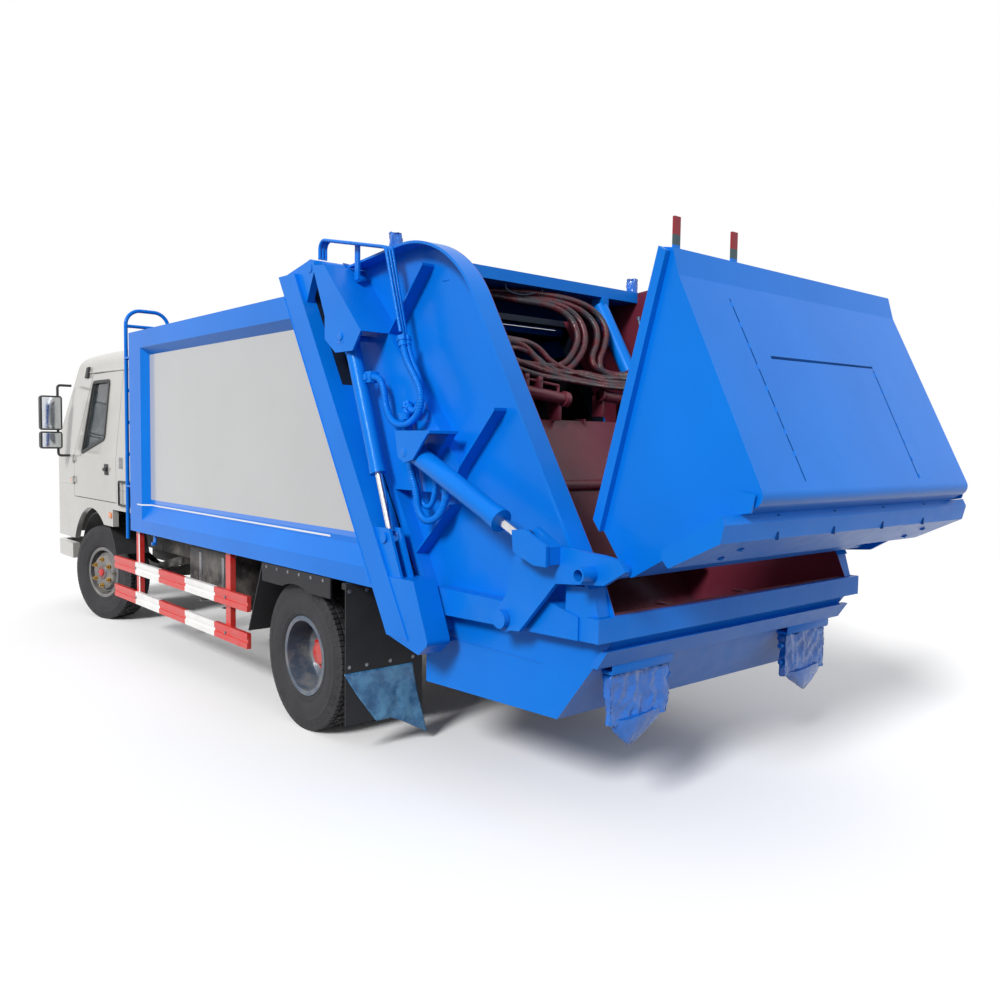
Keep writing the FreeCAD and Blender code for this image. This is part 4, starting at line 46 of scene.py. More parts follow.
axleX = joints["rear_wheels_left_spin"]["pos_m"][0]  # pieces are placed by their distance from the rear axle
print("frame loaded with", len(nodes), "nodes")


def at(x, y, z):
    return Vector((x + axleX, y, z))


# Shader maths: a wire is one output socket, and operators on it add Math nodes
class Wire:
    def __init__(self, tree, socket):
        self.tree = tree
        self.socket = socket

    def maths(self, operation, other=0.0, turned=False):
        made = self.tree.nodes.new("ShaderNodeMath")
        made.operation = operation
        for place, value in zip(made.inputs, (other, self) if turned else (self, other)):
            if isinstance(value, Wire):
                self.tree.links.new(value.socket, place)
            else:
                place.default_value = value
        return Wire(self.tree, made.outputs[0])

    def __add__(self, other):
        return self.maths("ADD", other)

    def __sub__(self, other):
        return self.maths("SUBTRACT", other)

    def __rsub__(self, other):
        return self.maths("SUBTRACT", other, True)

    def __mul__(self, other):
        return self.maths("MULTIPLY", other)

    def __truediv__(self, other):
        return self.maths("DIVIDE", other)

    def __gt__(self, other):
        return self.maths("GREATER_THAN", other)

    def __lt__(self, other):
        return self.maths("LESS_THAN", other)

    __radd__ = __add__
    __rmul__ = __mul__

    def atMost(self, other):
        return self.maths("MINIMUM", other)

    def atLeast(self, other):
        return self.maths("MAXIMUM", other)

    def size(self):
        return self.maths("ABSOLUTE")


class Finish:
    def __init__(self, name):
        self.material = bpy.data.materials.new(name)
        self.material.use_nodes = True
        self.tree = self.material.node_tree
        self.tree.nodes.clear()
        self.place = self.node("ShaderNodeTexCoord", output="Object")
        self.x, self.y, self.z = self.axes(self.place)

    def node(self, kind, settings=None, inputs=None, output=0):
        made = self.tree.nodes.new(kind)
        for key, value in (settings or {}).items():
            if key == "stops":
                ramp = made.color_ramp
                while len(ramp.elements) < len(value):
                    ramp.elements.new(0.5)
                for stop, (position, colour) in zip(ramp.elements, value):
                    stop.position = position
                    stop.color = (*colour, 1)
            else:
                setattr(made, key, value)
        for key, value in (inputs or {}).items():
            place = next(one for one in made.inputs if one.identifier == key or (one.enabled and one.name == key))
            if isinstance(value, Wire):
                self.tree.links.new(value.socket, place)
            elif isinstance(value, tuple) and place.type == "RGBA":
                place.default_value = (*value, 1)
            else:
                place.default_value = value
        return Wire(self.tree, made.outputs[output])

    def axes(self, vector):
        split = self.tree.nodes.new("ShaderNodeSeparateXYZ")
        self.tree.links.new(vector.socket, split.inputs[0])
        return [Wire(self.tree, one) for one in split.outputs]

    def spread(self, stretch=(1, 1, 1), turn=(0, 0, 0)):
        return self.node("ShaderNodeMapping", None, {"Vector": self.place, "Scale": stretch, "Rotation": turn})

    def noise(self, scale, detail=3.0, rough=0.5, stretch=None, turn=(0, 0, 0)):
        place = self.spread(stretch, turn) if stretch else self.place
        values = {"Vector": place, "Scale": scale, "Detail": detail, "Roughness": rough}
        return self.node("ShaderNodeTexNoise", None, values, "Fac")

    def cells(self, scale, feature="F1", stretch=None):
        place = self.spread(stretch) if stretch else self.place
        return self.node("ShaderNodeTexVoronoi", {"feature": feature}, {"Vector": place, "Scale": scale}, "Distance")

    def ramp(self, wire, low, high):
        values = {"Value": wire, "From Min": low, "From Max": high}
        return self.node("ShaderNodeMapRange", {"clamp": True}, values, "Result")

    def mix(self, mask, first, second):
        made = self.tree.nodes.new("ShaderNodeMix")
        made.data_type = "RGBA"
        for place, value in ((made.inputs[0], mask), (made.inputs[6], first), (made.inputs[7], second)):
            if isinstance(value, Wire):
                self.tree.links.new(value.socket, place)
            elif isinstance(value, tuple):
                place.default_value = (*value, 1)
            else:
                place.default_value = value
        return Wire(self.tree, made.outputs[2])

    def bump(self, height, strength, distance, under=None):
        values = {"Height": height, "Strength": strength, "Distance": distance}
        if under:
            values["Normal"] = under
        return self.node("ShaderNodeBump", None, values)

    def done(self, **values):
        shader = self.tree.nodes.new("ShaderNodeBsdfPrincipled")
        for key, value in values.items():
            place = shader.inputs[key.replace("_", " ")]
            if isinstance(value, Wire):
                self.tree.links.new(value.socket, place)
            elif isinstance(value, tuple):
                place.default_value = (*value, 1)
            else:
                place.default_value = value
        output = self.tree.nodes.new("ShaderNodeOutputMaterial")
        self.tree.links.new(shader.outputs[0], output.inputs[0])
        return self.material


# Paint: sprayed colour with a faint orange peel, drifting shade, dust low down and small chips
def paint(name, colour, darker, rough=0.2, dust=0.25, peel=0.10, coat=0.35, chips=0.0, wavy=0.12, shine=0.5,
          tint=(1, 1, 1)):
    made = Finish(name)
    shade = made.ramp(made.noise(1.7, 4), 0.35, 0.65)
    base = made.mix(shade, darker, colour)
    low = made.ramp(made.z * -1, -1.25, -0.45) * made.ramp(made.noise(9, 6, 0.65), 0.42, 0.7)
    grime = (low * dust + made.ramp(made.noise(2.3, 5, 0.6), 0.55, 0.8) * dust * 0.3).atMost(1)
    base = made.mix(grime, base, (0.34, 0.31, 0.27))
    if chips:
        chipped = (made.noise(46, 8, 0.72) > 0.735 - chips * 0.05) * made.ramp(made.noise(3, 3), 0.5, 0.7)
        base = made.mix(chipped, base, (0.10, 0.085, 0.075))
    fine = made.bump(made.noise(420, 2), peel, 0.0006)
    wave = made.bump(made.noise(3.4, 2), wavy, 0.012, fine)
    roughness = made.ramp(made.noise(14, 4), 0.2, 0.8) * 0.12 + rough + grime * 0.4
    return made.done(Base_Color=base, Roughness=roughness, Normal=wave, Coat_Weight=coat, Coat_Roughness=0.08,
                     Specular_IOR_Level=shine, Specular_Tint=tint)


# Metal, rubber, plastic and cloth
def metal(name, colour, darker, rough=0.3, brushed=(60, 60, 60), shine=1.0):
    made = Finish(name)
    streak = made.noise(1, 4, 0.6, brushed)
    base = made.mix(made.ramp(streak, 0.3, 0.7), darker, colour)
    roughness = streak * 0.25 + rough
    return made.done(Base_Color=base, Roughness=roughness, Metallic=shine, Normal=made.bump(streak, 0.08, 0.0006))


def rubber(name, colour, dusty, dust=0.5, rough=0.72, grain=260):
    made = Finish(name)
    patch = made.ramp(made.noise(7, 6, 0.65), 0.4, 0.72) * dust
    base = made.mix(patch, colour, dusty)
    return made.done(Base_Color=base, Roughness=patch * 0.15 + rough,
                     Normal=made.bump(made.noise(grain, 3), 0.25, 0.0008))


def plastic(name, colour, darker, rough=0.5, grain=700, strength=0.2):
    made = Finish(name)
    base = made.mix(made.ramp(made.noise(4, 4), 0.35, 0.7), darker, colour)
    roughness = made.ramp(made.noise(30, 4), 0.3, 0.7) * 0.12 + rough
    return made.done(Base_Color=base, Roughness=roughness, Normal=made.bump(made.cells(grain), strength, 0.0004))


def wovenCloth(name, colour, darker):
    made = Finish(name)
    warp = made.node("ShaderNodeTexWave", {"wave_type": "BANDS", "bands_direction": "X"},
                     {"Vector": made.place, "Scale": 130.0}, "Fac")
    weft = made.node("ShaderNodeTexWave", {"wave_type": "BANDS", "bands_direction": "Y"},
                     {"Vector": made.place, "Scale": 130.0}, "Fac")
    weave = (warp + weft) * 0.5
    base = made.mix(weave * made.ramp(made.noise(11, 5), 0.2, 0.8), darker, colour)
    return made.done(Base_Color=base, Roughness=weave * 0.1 + 0.82, Sheen_Weight=0.25,
                     Normal=made.bump(weave, 0.35, 0.0008))


# Thin film: it lets light through where it is flat and turns milky in its creases
def film(name, colour, milky, clear=0.45, crease=38):
    made = Finish(name)
    fold = made.ramp(made.noise(crease, 6, 0.7), 0.38, 0.66)
    base = made.mix(fold, colour, milky)
    alpha = fold * (1 - clear) + clear
    height = made.noise(crease * 0.7, 5, 0.62)
    return made.done(Base_Color=base, Roughness=fold * 0.3 + 0.14, Alpha=alpha, Coat_Weight=0.3,
                     Normal=made.bump(height, 0.8, 0.010))


def windowGlass(name, tint, alpha=0.55):
    made = Finish(name)
    smear = made.ramp(made.noise(6, 5, 0.65), 0.45, 0.75)
    base = made.mix(smear * 0.35, tint, (0.30, 0.33, 0.34))
    return made.done(Base_Color=base, Roughness=smear * 0.1 + 0.03, Alpha=smear * 0.12 + alpha,
                     Specular_IOR_Level=0.6)


def lens(name, colour):
    made = Finish(name)
    ribs = made.node("ShaderNodeTexWave", {"bands_direction": "Z"}, {"Vector": made.place, "Scale": 60.0}, "Fac")
    base = made.mix(ribs, tuple(value * 0.55 for value in colour), colour)
    return made.done(Base_Color=base, Roughness=ribs * 0.1 + 0.08, Normal=made.bump(ribs, 0.4, 0.002),
                     Coat_Weight=0.6)


shine = (0.30, 0.60, 1.0)  # what the open sky tints in the blue paint's reflections
paints = {
    "blue": ((0.001, 0.165, 0.66), (0.001, 0.148, 0.60)),
    "panel": ((0.44, 0.442, 0.445), (0.41, 0.412, 0.415)),
    "shadeBlue": ((0.004, 0.05, 0.22), (0.003, 0.03, 0.13)),
    "cream": ((0.44, 0.43, 0.40), (0.40, 0.39, 0.36)),
    "black": ((0.022, 0.022, 0.024), (0.012, 0.012, 0.013)),
    "maroon": ((0.130, 0.019, 0.034), (0.085, 0.013, 0.024)),
    "red": ((0.60, 0.022, 0.018), (0.50, 0.016, 0.014)),
    "white": ((0.80, 0.80, 0.80), (0.72, 0.72, 0.72)),
    "wheelGrey": ((0.075, 0.105, 0.150), (0.045, 0.062, 0.095)),
    "frontGrey": ((0.17, 0.17, 0.175), (0.11, 0.11, 0.115)),
    "primer": ((0.235, 0.195, 0.215), (0.18, 0.15, 0.17)),
}


def panelPaint():
    made = Finish("panelPaint")
    colour, darker = paints["panel"]
    settings = {"inner": 1.004, "bandTop": 1.122}
    base = made.mix(made.ramp(made.noise(1.3, 4), 0.3, 0.7), darker, colour)
    dirt = made.ramp(made.z * -1, -1.35, -1.05) * made.ramp(made.noise(6, 6, 0.65), 0.4, 0.75) * 0.22
    base = made.mix(dirt, base, (0.40, 0.38, 0.34))
    # painted shade: the panels' faces inside the load space are turned near black
    base = made.mix(made.y.size() < settings["inner"], base, (0.02, 0.02, 0.022))
    base = made.mix(made.z < settings["bandTop"], base, paints["blue"][0])
    wave = made.bump(made.noise(2.1, 2), 0.10, 0.012, made.bump(made.noise(380, 2), 0.06, 0.0005))
    return made.done(Base_Color=base, Roughness=made.noise(9, 3) * 0.12 + 0.14, Normal=wave, Coat_Weight=0.5,
                     Coat_Roughness=0.06)


def stripedGuard():
    made = Finish("stripedGuard")
    settings = {"pitch": 0.9328, "start": 0.588, "redShare": 0.5, "outside": 1.04}
    along = made.x - (axleX + settings["start"])
    step = along / settings["pitch"]
    share = step.maths("FRACT")
    red, white = paints["red"][0], (0.80, 0.79, 0.78)
    base = made.mix((share < settings["redShare"]).atLeast(made.y.size() < settings["outside"]), white, red)
    worn = (made.noise(38, 8, 0.7) > 0.66) * 0.5
    dust = made.ramp(made.noise(8, 6, 0.6), 0.4, 0.8) * 0.25
    base = made.mix(dust + worn * 0.3, base, (0.36, 0.31, 0.28))
    return made.done(Base_Color=base, Roughness=dust * 0.4 + 0.3, Normal=made.bump(made.noise(300, 2), 0.1, 0.0006))



# Hoses wrapped in film and sprayed over in the hopper's maroon, bare grey where the spray missed
def hopperHose():
    made = Finish("hopperHose")
    patch = made.ramp(made.noise(13, 5, 0.6), 0.42, 0.6)
    base = made.mix(patch, (0.082, 0.010, 0.017), (0.030, 0.028, 0.038))
    flecks = made.noise(90, 6, 0.7) > 0.62
    base = made.mix(flecks * 0.12, base, (0.42, 0.30, 0.30))
    height = made.noise(70, 5, 0.65)
    return made.done(Base_Color=base, Roughness=patch * 0.1 + 0.26, Normal=made.bump(height, 0.6, 0.004))


# The filler's sides: blue outside, maroon inside the hopper
def fillerBlue():
    made = Finish("fillerBlue")
    settings = {"inner": 0.8525}
    colour, darker = paints["blue"]
    base = made.mix(made.ramp(made.noise(1.7, 4), 0.35, 0.65), darker, colour)
    base = made.mix(made.y.size() < settings["inner"], base, paints["maroon"][0])
    wave = made.bump(made.noise(2.6, 3), 0.16, 0.014, made.bump(made.noise(420, 2), 0.10, 0.0006))
    return made.done(Base_Color=base, Roughness=made.noise(14, 4) * 0.1 + 0.28, Normal=wave, Coat_Weight=0.05,
                     Specular_IOR_Level=0.28, Specular_Tint=shine)


# The bucket's blue, with its two upper bars red over bare grey-green steel
def bucketBlue():
    made = Finish("bucketBlue")
    settings = {"bare": 2.2815, "red": 2.318}
    colour, darker = paints["blue"]
    base = made.mix(made.ramp(made.noise(1.7, 4), 0.35, 0.65), darker, colour)
    base = made.mix(made.z > settings["bare"], base, (0.055, 0.085, 0.085))
    base = made.mix(made.z > settings["red"], base, (0.26, 0.022, 0.022))
    wave = made.bump(made.noise(2.6, 3), 0.16, 0.014, made.bump(made.noise(420, 2), 0.10, 0.0006))
    return made.done(Base_Color=base, Roughness=made.noise(14, 4) * 0.1 + 0.28, Normal=wave, Coat_Weight=0.05,
                     Specular_IOR_Level=0.28, Specular_Tint=shine)


# The body's blue, with painted shade: near black on the faces inside the load space
def bodyBlue():
    made = Finish("bodyBlue")
    settings = {"half": 0.998, "roof": 2.285, "header": 2.45, "rear": 0.03, "front": 2.45, "back": -0.36,
                "floor": 0.9,
                "lineLow": 1.077, "lineHigh": 1.087, "lineSide": 1.028, "lineBack": -0.30, "lineFront": 2.36}
    colour, darker = paints["blue"]
    base = made.mix(made.ramp(made.noise(1.7, 4), 0.35, 0.65), darker, colour)
    # painted shade: faces under the roof and inside the load space are turned near black
    under = (made.z < settings["roof"]).atLeast((made.x < settings["rear"] + axleX) * (made.z < settings["header"]))
    inside = (made.y.size() < settings["half"]) * under * (made.z > settings["floor"])
    inside = inside * (made.x < settings["front"] + axleX) * (made.x > settings["back"] + axleX)
    base = made.mix(inside, base, (0.008, 0.010, 0.018))
    line = (made.z > settings["lineLow"]) * (made.z < settings["lineHigh"]) * (made.y.size() > settings["lineSide"])
    line = line * (made.x > settings["lineBack"] + axleX) * (made.x < settings["lineFront"] + axleX)
    base = made.mix(line, base, (0.70, 0.71, 0.72))
    wave = made.bump(made.noise(3.4, 2), 0.05, 0.012, made.bump(made.noise(420, 2), 0.10, 0.0006))
    return made.done(Base_Color=base, Roughness=inside * 0.5 + 0.34, Normal=wave, Coat_Weight=0.05,
                     Specular_IOR_Level=0.28, Specular_Tint=shine)


finishes = {
    "hopperHose": hopperHose(),
    "bodyBlue": bodyBlue(),
    "bucketBlue": bucketBlue(),
    "fillerBlue": fillerBlue(),
    "blueWire": plastic("blueWire", (0.10, 0.20, 0.34), (0.05, 0.10, 0.18)),
    "bluePaint": paint("bluePaint", *paints["blue"], rough=0.3, dust=0.06, coat=0.05, wavy=0.05, shine=0.28,
                       tint=shine),
    # painted shade: the blue paint's colour in shade, a dark finish for the bucket's seams and slot, the comb's gaps
    # and the roof cover
    "darkBlue": paint("darkBlue", *paints["shadeBlue"], rough=0.8, dust=0.2, coat=0.0, shine=0.08),
    "panelPaint": panelPaint(),
    "creamPaint": paint("creamPaint", *paints["cream"], rough=0.16, peel=0.05, wavy=0.06, coat=0.5),
    "blackPaint": paint("blackPaint", *paints["black"], rough=0.42, dust=0.55, coat=0.05, chips=0.3),
    "maroonPaint": paint("maroonPaint", *paints["maroon"], rough=0.34, dust=0.2, coat=0.1),
    "redPaint": paint("redPaint", *paints["red"], rough=0.3, dust=0.3, coat=0.2, chips=0.4),
    "whitePaint": paint("whitePaint", *paints["white"], rough=0.25, dust=0.1),
    "wheelPaint": paint("wheelPaint", *paints["wheelGrey"], rough=0.38, dust=0.5, coat=0.1),
    "frontWheelPaint": paint("frontWheelPaint", *paints["frontGrey"], rough=0.4, dust=0.6, coat=0.1),
    "primer": paint("primer", *paints["primer"], rough=0.5, dust=0.3, coat=0.0),
    "stripedGuard": stripedGuard(),
    "chrome": metal("chrome", (0.74, 0.74, 0.76), (0.62, 0.62, 0.65), rough=0.06),
    "steel": metal("steel", (0.36, 0.37, 0.39), (0.22, 0.22, 0.24), rough=0.34),
    "brass": metal("brass", (0.62, 0.42, 0.14), (0.40, 0.25, 0.08), rough=0.25),
    "iron": metal("iron", (0.10, 0.095, 0.09), (0.05, 0.048, 0.045), rough=0.5, shine=0.6),
    "tyreRubber": rubber("tyreRubber", (0.010, 0.010, 0.012), (0.055, 0.055, 0.06), dust=0.35),
    "flapRubber": rubber("flapRubber", (0.006, 0.006, 0.008), (0.035, 0.036, 0.042), dust=0.25, grain=120),
    "hoseRubber": rubber("hoseRubber", (0.018, 0.018, 0.02), (0.08, 0.07, 0.07), dust=0.3),
    "trimPlastic": plastic("trimPlastic", (0.030, 0.030, 0.033), (0.018, 0.018, 0.02)),
    "dashPlastic": plastic("dashPlastic", (0.11, 0.11, 0.115), (0.075, 0.075, 0.08), rough=0.6),
    "seatCloth": wovenCloth("seatCloth", (0.085, 0.09, 0.105), (0.035, 0.037, 0.045)),
    "clearFilm": film("clearFilm", (0.012, 0.115, 0.30), (0.10, 0.30, 0.50), clear=0.88, crease=7),
    "blueWrap": film("blueWrap", (0.001, 0.105, 0.46), (0.001, 0.150, 0.60), clear=0.97, crease=10),
    "windowGlass": windowGlass("windowGlass", (0.035, 0.045, 0.050)),
    "mirrorGlass": metal("mirrorGlass", (0.70, 0.73, 0.76), (0.64, 0.67, 0.70), rough=0.02),
    "amberLens": lens("amberLens", (0.85, 0.22, 0.01)),
    "redLens": lens("redLens", (0.55, 0.01, 0.008)),
    "clearLens": lens("clearLens", (0.75, 0.77, 0.80)),
}
print("finishes made:", len(finishes))


def dress(finishName, *names):
    for name in names:
        slots = nodes[name].data.materials
        slots.clear()
        slots.append(finishes[finishName])


nodeFinishes = {
    "bucketBlue": ("bucket_shell",),
    "bodyBlue": ("body_front_wall", "body_side_frames", "body_roof", "rear_frame"),
    "fillerBlue": ("filler_sides",),
    "bluePaint": ("packer_rams", "filler_brackets", "filler_hull",
                  "filler_roof", "crank_arms", "tilt_barrels", "lift_barrels", "bin_comb", "hydraulic_pipes",
                  "ladder"),
    "panelPaint": ("side_panels",),
    "creamPaint": ("cab_shell", "door_left", "door_right", "bumper"),
    "blackPaint": ("frame_rails", "body_bearers", "front_axle", "rear_axle", "propeller_shaft", "leaf_springs",
                   "side_tanks", "knuckle_left", "knuckle_right"),
    "iron": ("engine_block",),
    "maroonPaint": ("body_floor", "hopper_floor", "packer_carriage", "packer_blade"),
    "wheelPaint": ("rear_rims_left", "rear_rims_right"),
    "frontWheelPaint": ("front_rim_left", "front_rim_right"),
    "tyreRubber": ("front_tyre_left", "front_tyre_right", "rear_tyres_left", "rear_tyres_right"),
    "flapRubber": ("rear_fenders", "mud_flaps"),
    "trimPlastic": ("front_wings", "mirrors"),
    "stripedGuard": ("side_guards",),
    "windowGlass": ("cab_glass", "door_glass_left", "door_glass_right"),
    "seatCloth": ("cab_interior",),
    "chrome": ("tilt_rods", "lift_rods"),
    "clearFilm": ("flap_film",),
    "blueWrap": ("wrapped_lamps",),
}
for finishName, names in nodeFinishes.items():
    dress(finishName, *names)


# Camera, floor and light
view = {"x": -4.3494, "y": 3.3937, "z": 1.5727, "yaw": -40.89, "pitch": -3.67, "roll": 0.82, "lens": 32.64}
yaw, pitch, roll = (math.radians(view[key]) for key in ("yaw", "pitch", "roll"))
ahead = Vector((math.cos(yaw) * math.cos(pitch), math.sin(yaw) * math.cos(pitch), math.sin(pitch)))
aside = Vector((math.sin(yaw), -math.cos(yaw), 0))
above = aside.cross(ahead)
aside, above = math.cos(roll) * aside + math.sin(roll) * above, math.cos(roll) * above - math.sin(roll) * aside
turned = Matrix((aside, above, -ahead)).transposed().to_4x4()
lensData = bpy.data.cameras.new("viewer")
lensData.lens = view["lens"]
lensData.sensor_width = 36
viewer = bpy.data.objects.new("viewer", lensData)
viewer.matrix_world = Matrix.Translation(at(view["x"], view["y"], view["z"])) @ turned
bpy.context.scene.collection.objects.link(viewer)
bpy.context.scene.camera = viewer


def lamp(name, kind, strength, place, target, size=1.0, colour=(1, 1, 1)):
    data = bpy.data.lights.new(name, kind)
    data.energy = strength
    data.color = colour
    if kind == "SUN":
        data.angle = size
    else:
        data.shape = "DISK"
        data.size = size
    made = bpy.data.objects.new(name, data)
    place = Vector(place)
    turn = (Vector(target) - place).to_track_quat("-Z", "Y")
    made.matrix_world = Matrix.Translation(place) @ turn.to_matrix().to_4x4()
    bpy.context.scene.collection.objects.link(made)


light = {"sky": 0.60, "key": 3.15, "fill": 80, "keyPlace": (-5, 12, 9), "fillPlace": (-10, -3, 5)}
lamp("key", "SUN", light["key"], light["keyPlace"], (0, 0, 0.8), math.radians(14))
lamp("fill", "AREA", light["fill"], light["fillPlace"], (-2.5, 0, 1.2), 5.0, (0.97, 0.98, 1))

world = bpy.data.worlds.new("studio")
bpy.context.scene.world = world
world.use_nodes = True
sky = world.node_tree
sky.nodes.clear()
path = sky.nodes.new("ShaderNodeLightPath")
seen = (Wire(sky, path.outputs["Is Camera Ray"]) + Wire(sky, path.outputs["Is Glossy Ray"])
        + Wire(sky, path.outputs["Is Transmission Ray"]))
background = sky.nodes.new("ShaderNodeBackground")
background.inputs["Color"].default_value = (1, 1, 1, 1)
strength = seen.atMost(1) * (1 - light["sky"]) + light["sky"]
sky.links.new(strength.socket, background.inputs["Strength"])
worldOutput = sky.nodes.new("ShaderNodeOutputWorld")
sky.links.new(background.outputs[0], worldOutput.inputs[0])

yard = {"radius": 60, "shadowEnd": 4.5, "whiteFrom": 11, "glow": 0.25, "lit": (0.22, 0.22, 0.23),
        "seen": (0.97, 0.97, 0.97)}
bm = bmesh.new()
bmesh.ops.create_circle(bm, cap_ends=True, segments=96, radius=yard["radius"])
floorMesh = bpy.data.meshes.new("floor")
bm.to_mesh(floorMesh)
bm.free()
floor = bpy.data.objects.new("floor", floorMesh)
bpy.context.scene.collection.objects.link(floor)
ground = Finish("ground")
reach = ground.node("ShaderNodeVectorMath", {"operation": "LENGTH"}, {"Vector": ground.place}, "Value")
far = ground.ramp(reach, yard["shadowEnd"], yard["whiteFrom"])
shell = ground.tree.nodes.new("ShaderNodeBsdfDiffuse")
rays = ground.tree.nodes.new("ShaderNodeLightPath")
direct = (Wire(ground.tree, rays.outputs["Is Camera Ray"]) + Wire(ground.tree, rays.outputs["Is Glossy Ray"])
          + Wire(ground.tree, rays.outputs["Is Transmission Ray"])).atMost(1)
ground.tree.links.new(ground.mix(direct, yard["lit"], yard["seen"]).socket,
                      shell.inputs["Color"])  # grey yard for what it lights
plain = ground.tree.nodes.new("ShaderNodeEmission")
ground.tree.links.new((direct * (1 - yard["glow"]) + yard["glow"]).socket, plain.inputs["Strength"])
mixed = ground.tree.nodes.new("ShaderNodeMixShader")
groundOutput = ground.tree.nodes.new("ShaderNodeOutputMaterial")
ground.tree.links.new(far.socket, mixed.inputs[0])
ground.tree.links.new(shell.outputs[0], mixed.inputs[1])
ground.tree.links.new(plain.outputs[0], mixed.inputs[2])
ground.tree.links.new(mixed.outputs[0], groundOutput.inputs[0])
floor.data.materials.append(ground.material)
bpy.context.scene.view_settings.view_transform = "Standard"
print("camera, floor and light set")

# Mesh helpers: each adds a shape to a bmesh that is being built
def block(bm, low, high, bevel=0.0, segments=2):
    low, high = Vector(low), Vector(high)
    size = high - low
    place = Matrix.Translation((low + high) / 2) @ Matrix.Diagonal((abs(size.x), abs(size.y), abs(size.z), 1))
    made = bmesh.ops.create_cube(bm, size=1, matrix=place)["verts"]
    if bevel:
        edges = list({edge for vert in made for edge in vert.link_edges})
        bmesh.ops.bevel(bm, geom=edges, offset=bevel, segments=segments, profile=0.5, affect="EDGES", material=-1)
    return made


def facing(start, end):
    start, end = Vector(start), Vector(end)
    along = end - start
    return Matrix.Translation(start) @ along.to_track_quat("Z", "Y").to_matrix().to_4x4(), along.length


def drum(bm, start, end, radius, tip=None, segments=20, bevel=0.0):
    place, length = facing(start, end)
    place = place @ Matrix.Translation((0, 0, length / 2))
    made = bmesh.ops.create_cone(bm, cap_ends=True, segments=segments, radius1=radius,
                                 radius2=radius if tip is None else tip,
                                 depth=length, matrix=place)["verts"]
    if bevel:
        rims = list({edge for vert in made for edge in vert.link_edges
                     if any(len(face.verts) > 4 for face in edge.link_faces)})
        bmesh.ops.bevel(bm, geom=rims, offset=bevel, segments=2, profile=0.5, affect="EDGES", material=-1)
    return made


def lathe(bm, profile, place, steps=48, closed=False):
    made = [bm.verts.new((radius, 0, along)) for radius, along in profile]
    edges = [bm.edges.new(pair) for pair in zip(made, made[1:])]
    if closed:
        edges.append(bm.edges.new((made[-1], made[0])))
    before = set(bm.verts) - set(made)
    bmesh.ops.spin(bm, geom=made + edges, cent=(0, 0, 0), axis=(0, 0, 1), angle=math.tau, steps=steps, use_merge=True)
    added = [vert for vert in bm.verts if vert not in before]
    bmesh.ops.transform(bm, matrix=place, verts=added)
    return added


def plate(bm, points, along, depth, bevel=0.0):
    made = [bm.verts.new(point) for point in points]
    face = bm.faces.new(made)
    moved = bmesh.ops.extrude_face_region(bm, geom=[face])["geom"]
    bmesh.ops.translate(bm, vec=Vector(along).normalized() * depth,
                        verts=[one for one in moved if isinstance(one, bmesh.types.BMVert)])
    added = set(made) | {one for one in moved if isinstance(one, bmesh.types.BMVert)}
    if bevel:
        edges = list({edge for vert in added for edge in vert.link_edges})
        bmesh.ops.bevel(bm, geom=edges, offset=bevel, segments=2, profile=0.5, affect="EDGES", material=-1)


def frameRing(bm, points, width, depth, along):
    made = [bm.verts.new(point) for point in points]
    face = bm.faces.new(made)
    bmesh.ops.bevel(bm, geom=made, offset=width * 1.6, segments=5, profile=0.5, affect="VERTICES", material=-1)
    face = max((one for one in bm.faces if one.is_valid),
               key=lambda one: one.calc_area() if len(one.verts) > 8 else 0)
    inner = face
    ring = bmesh.ops.inset_region(bm, faces=[face], thickness=width, use_even_offset=True, use_boundary=True)["faces"]
    bmesh.ops.delete(bm, geom=[inner], context="FACES")
    moved = bmesh.ops.extrude_face_region(bm, geom=ring)["geom"]
    bmesh.ops.translate(bm, vec=Vector(along).normalized() * depth,
                        verts=[one for one in moved if isinstance(one, bmesh.types.BMVert)])


def hexNut(bm, foot, along, radius=0.016, height=0.015, stud=0.012):
    foot, along = Vector(foot), Vector(along).normalized()
    drum(bm, foot, foot + along * 0.003, radius * 1.3, segments=20)
    drum(bm, foot + along * 0.003, foot + along * height, radius, radius * 0.96, 6)
    drum(bm, foot + along * height, foot + along * (height + stud), radius * 0.52, radius * 0.46, 12)


def bolt(bm, foot, along, radius=0.009, height=0.006):
    foot, along = Vector(foot), Vector(along).normalized()
    drum(bm, foot, foot + along * 0.0015, radius * 1.35, segments=16)
    drum(bm, foot + along * 0.0015, foot + along * height, radius, radius * 0.94, 6)


def finished(name, bm, body, finishName, smooth=38, replaced=()):
    bmesh.ops.remove_doubles(bm, verts=bm.verts, dist=0.00001)
    bmesh.ops.recalc_face_normals(bm, faces=bm.faces)
    mesh = bpy.data.meshes.new(name)
    bm.to_mesh(mesh)
    bm.free()
    made = bpy.data.objects.new(name, mesh)
    bpy.context.scene.collection.objects.link(made)
    mesh.materials.append(finishes[finishName])
    mesh.shade_smooth()
    mesh.set_sharp_from_angle(angle=math.radians(smooth))
    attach(made, body)
    if replaced:
        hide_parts(*replaced)
    return made


def wheelPlace(jointName):
    joint = joints[jointName]
    return facing(joint["pos_m"], Vector(joint["pos_m"]) + Vector(joint["axis"]))[0]


# Tyres: a carcass turned from its section, then lugs raised from its tread faces
tyre = {
    "radius": 0.4022, "tread": 0.3925, "groove": 0.3865, "half": 0.1070, "steps": 84,
    "section": [(0.2025, 0.079), (0.2165, 0.081), (0.2205, 0.0885), (0.2285, 0.0935), (0.2335, 0.0935),
                (0.2365, 0.0975), (0.2445, 0.0985),
                (0.2475, 0.0965), (0.262, 0.1010), (0.290, 0.1060), (0.318, 0.1070), (0.338, 0.1062),
                (0.3405, 0.1074), (0.3455, 0.1072),
                (0.348, 0.1045), (0.362, 0.1015), (0.376, 0.0965)],
    "bands": [(0.093, 0.062), (0.055, 0.026), (0.0195, -0.0195), (-0.026, -0.055), (-0.062, -0.093)],
}


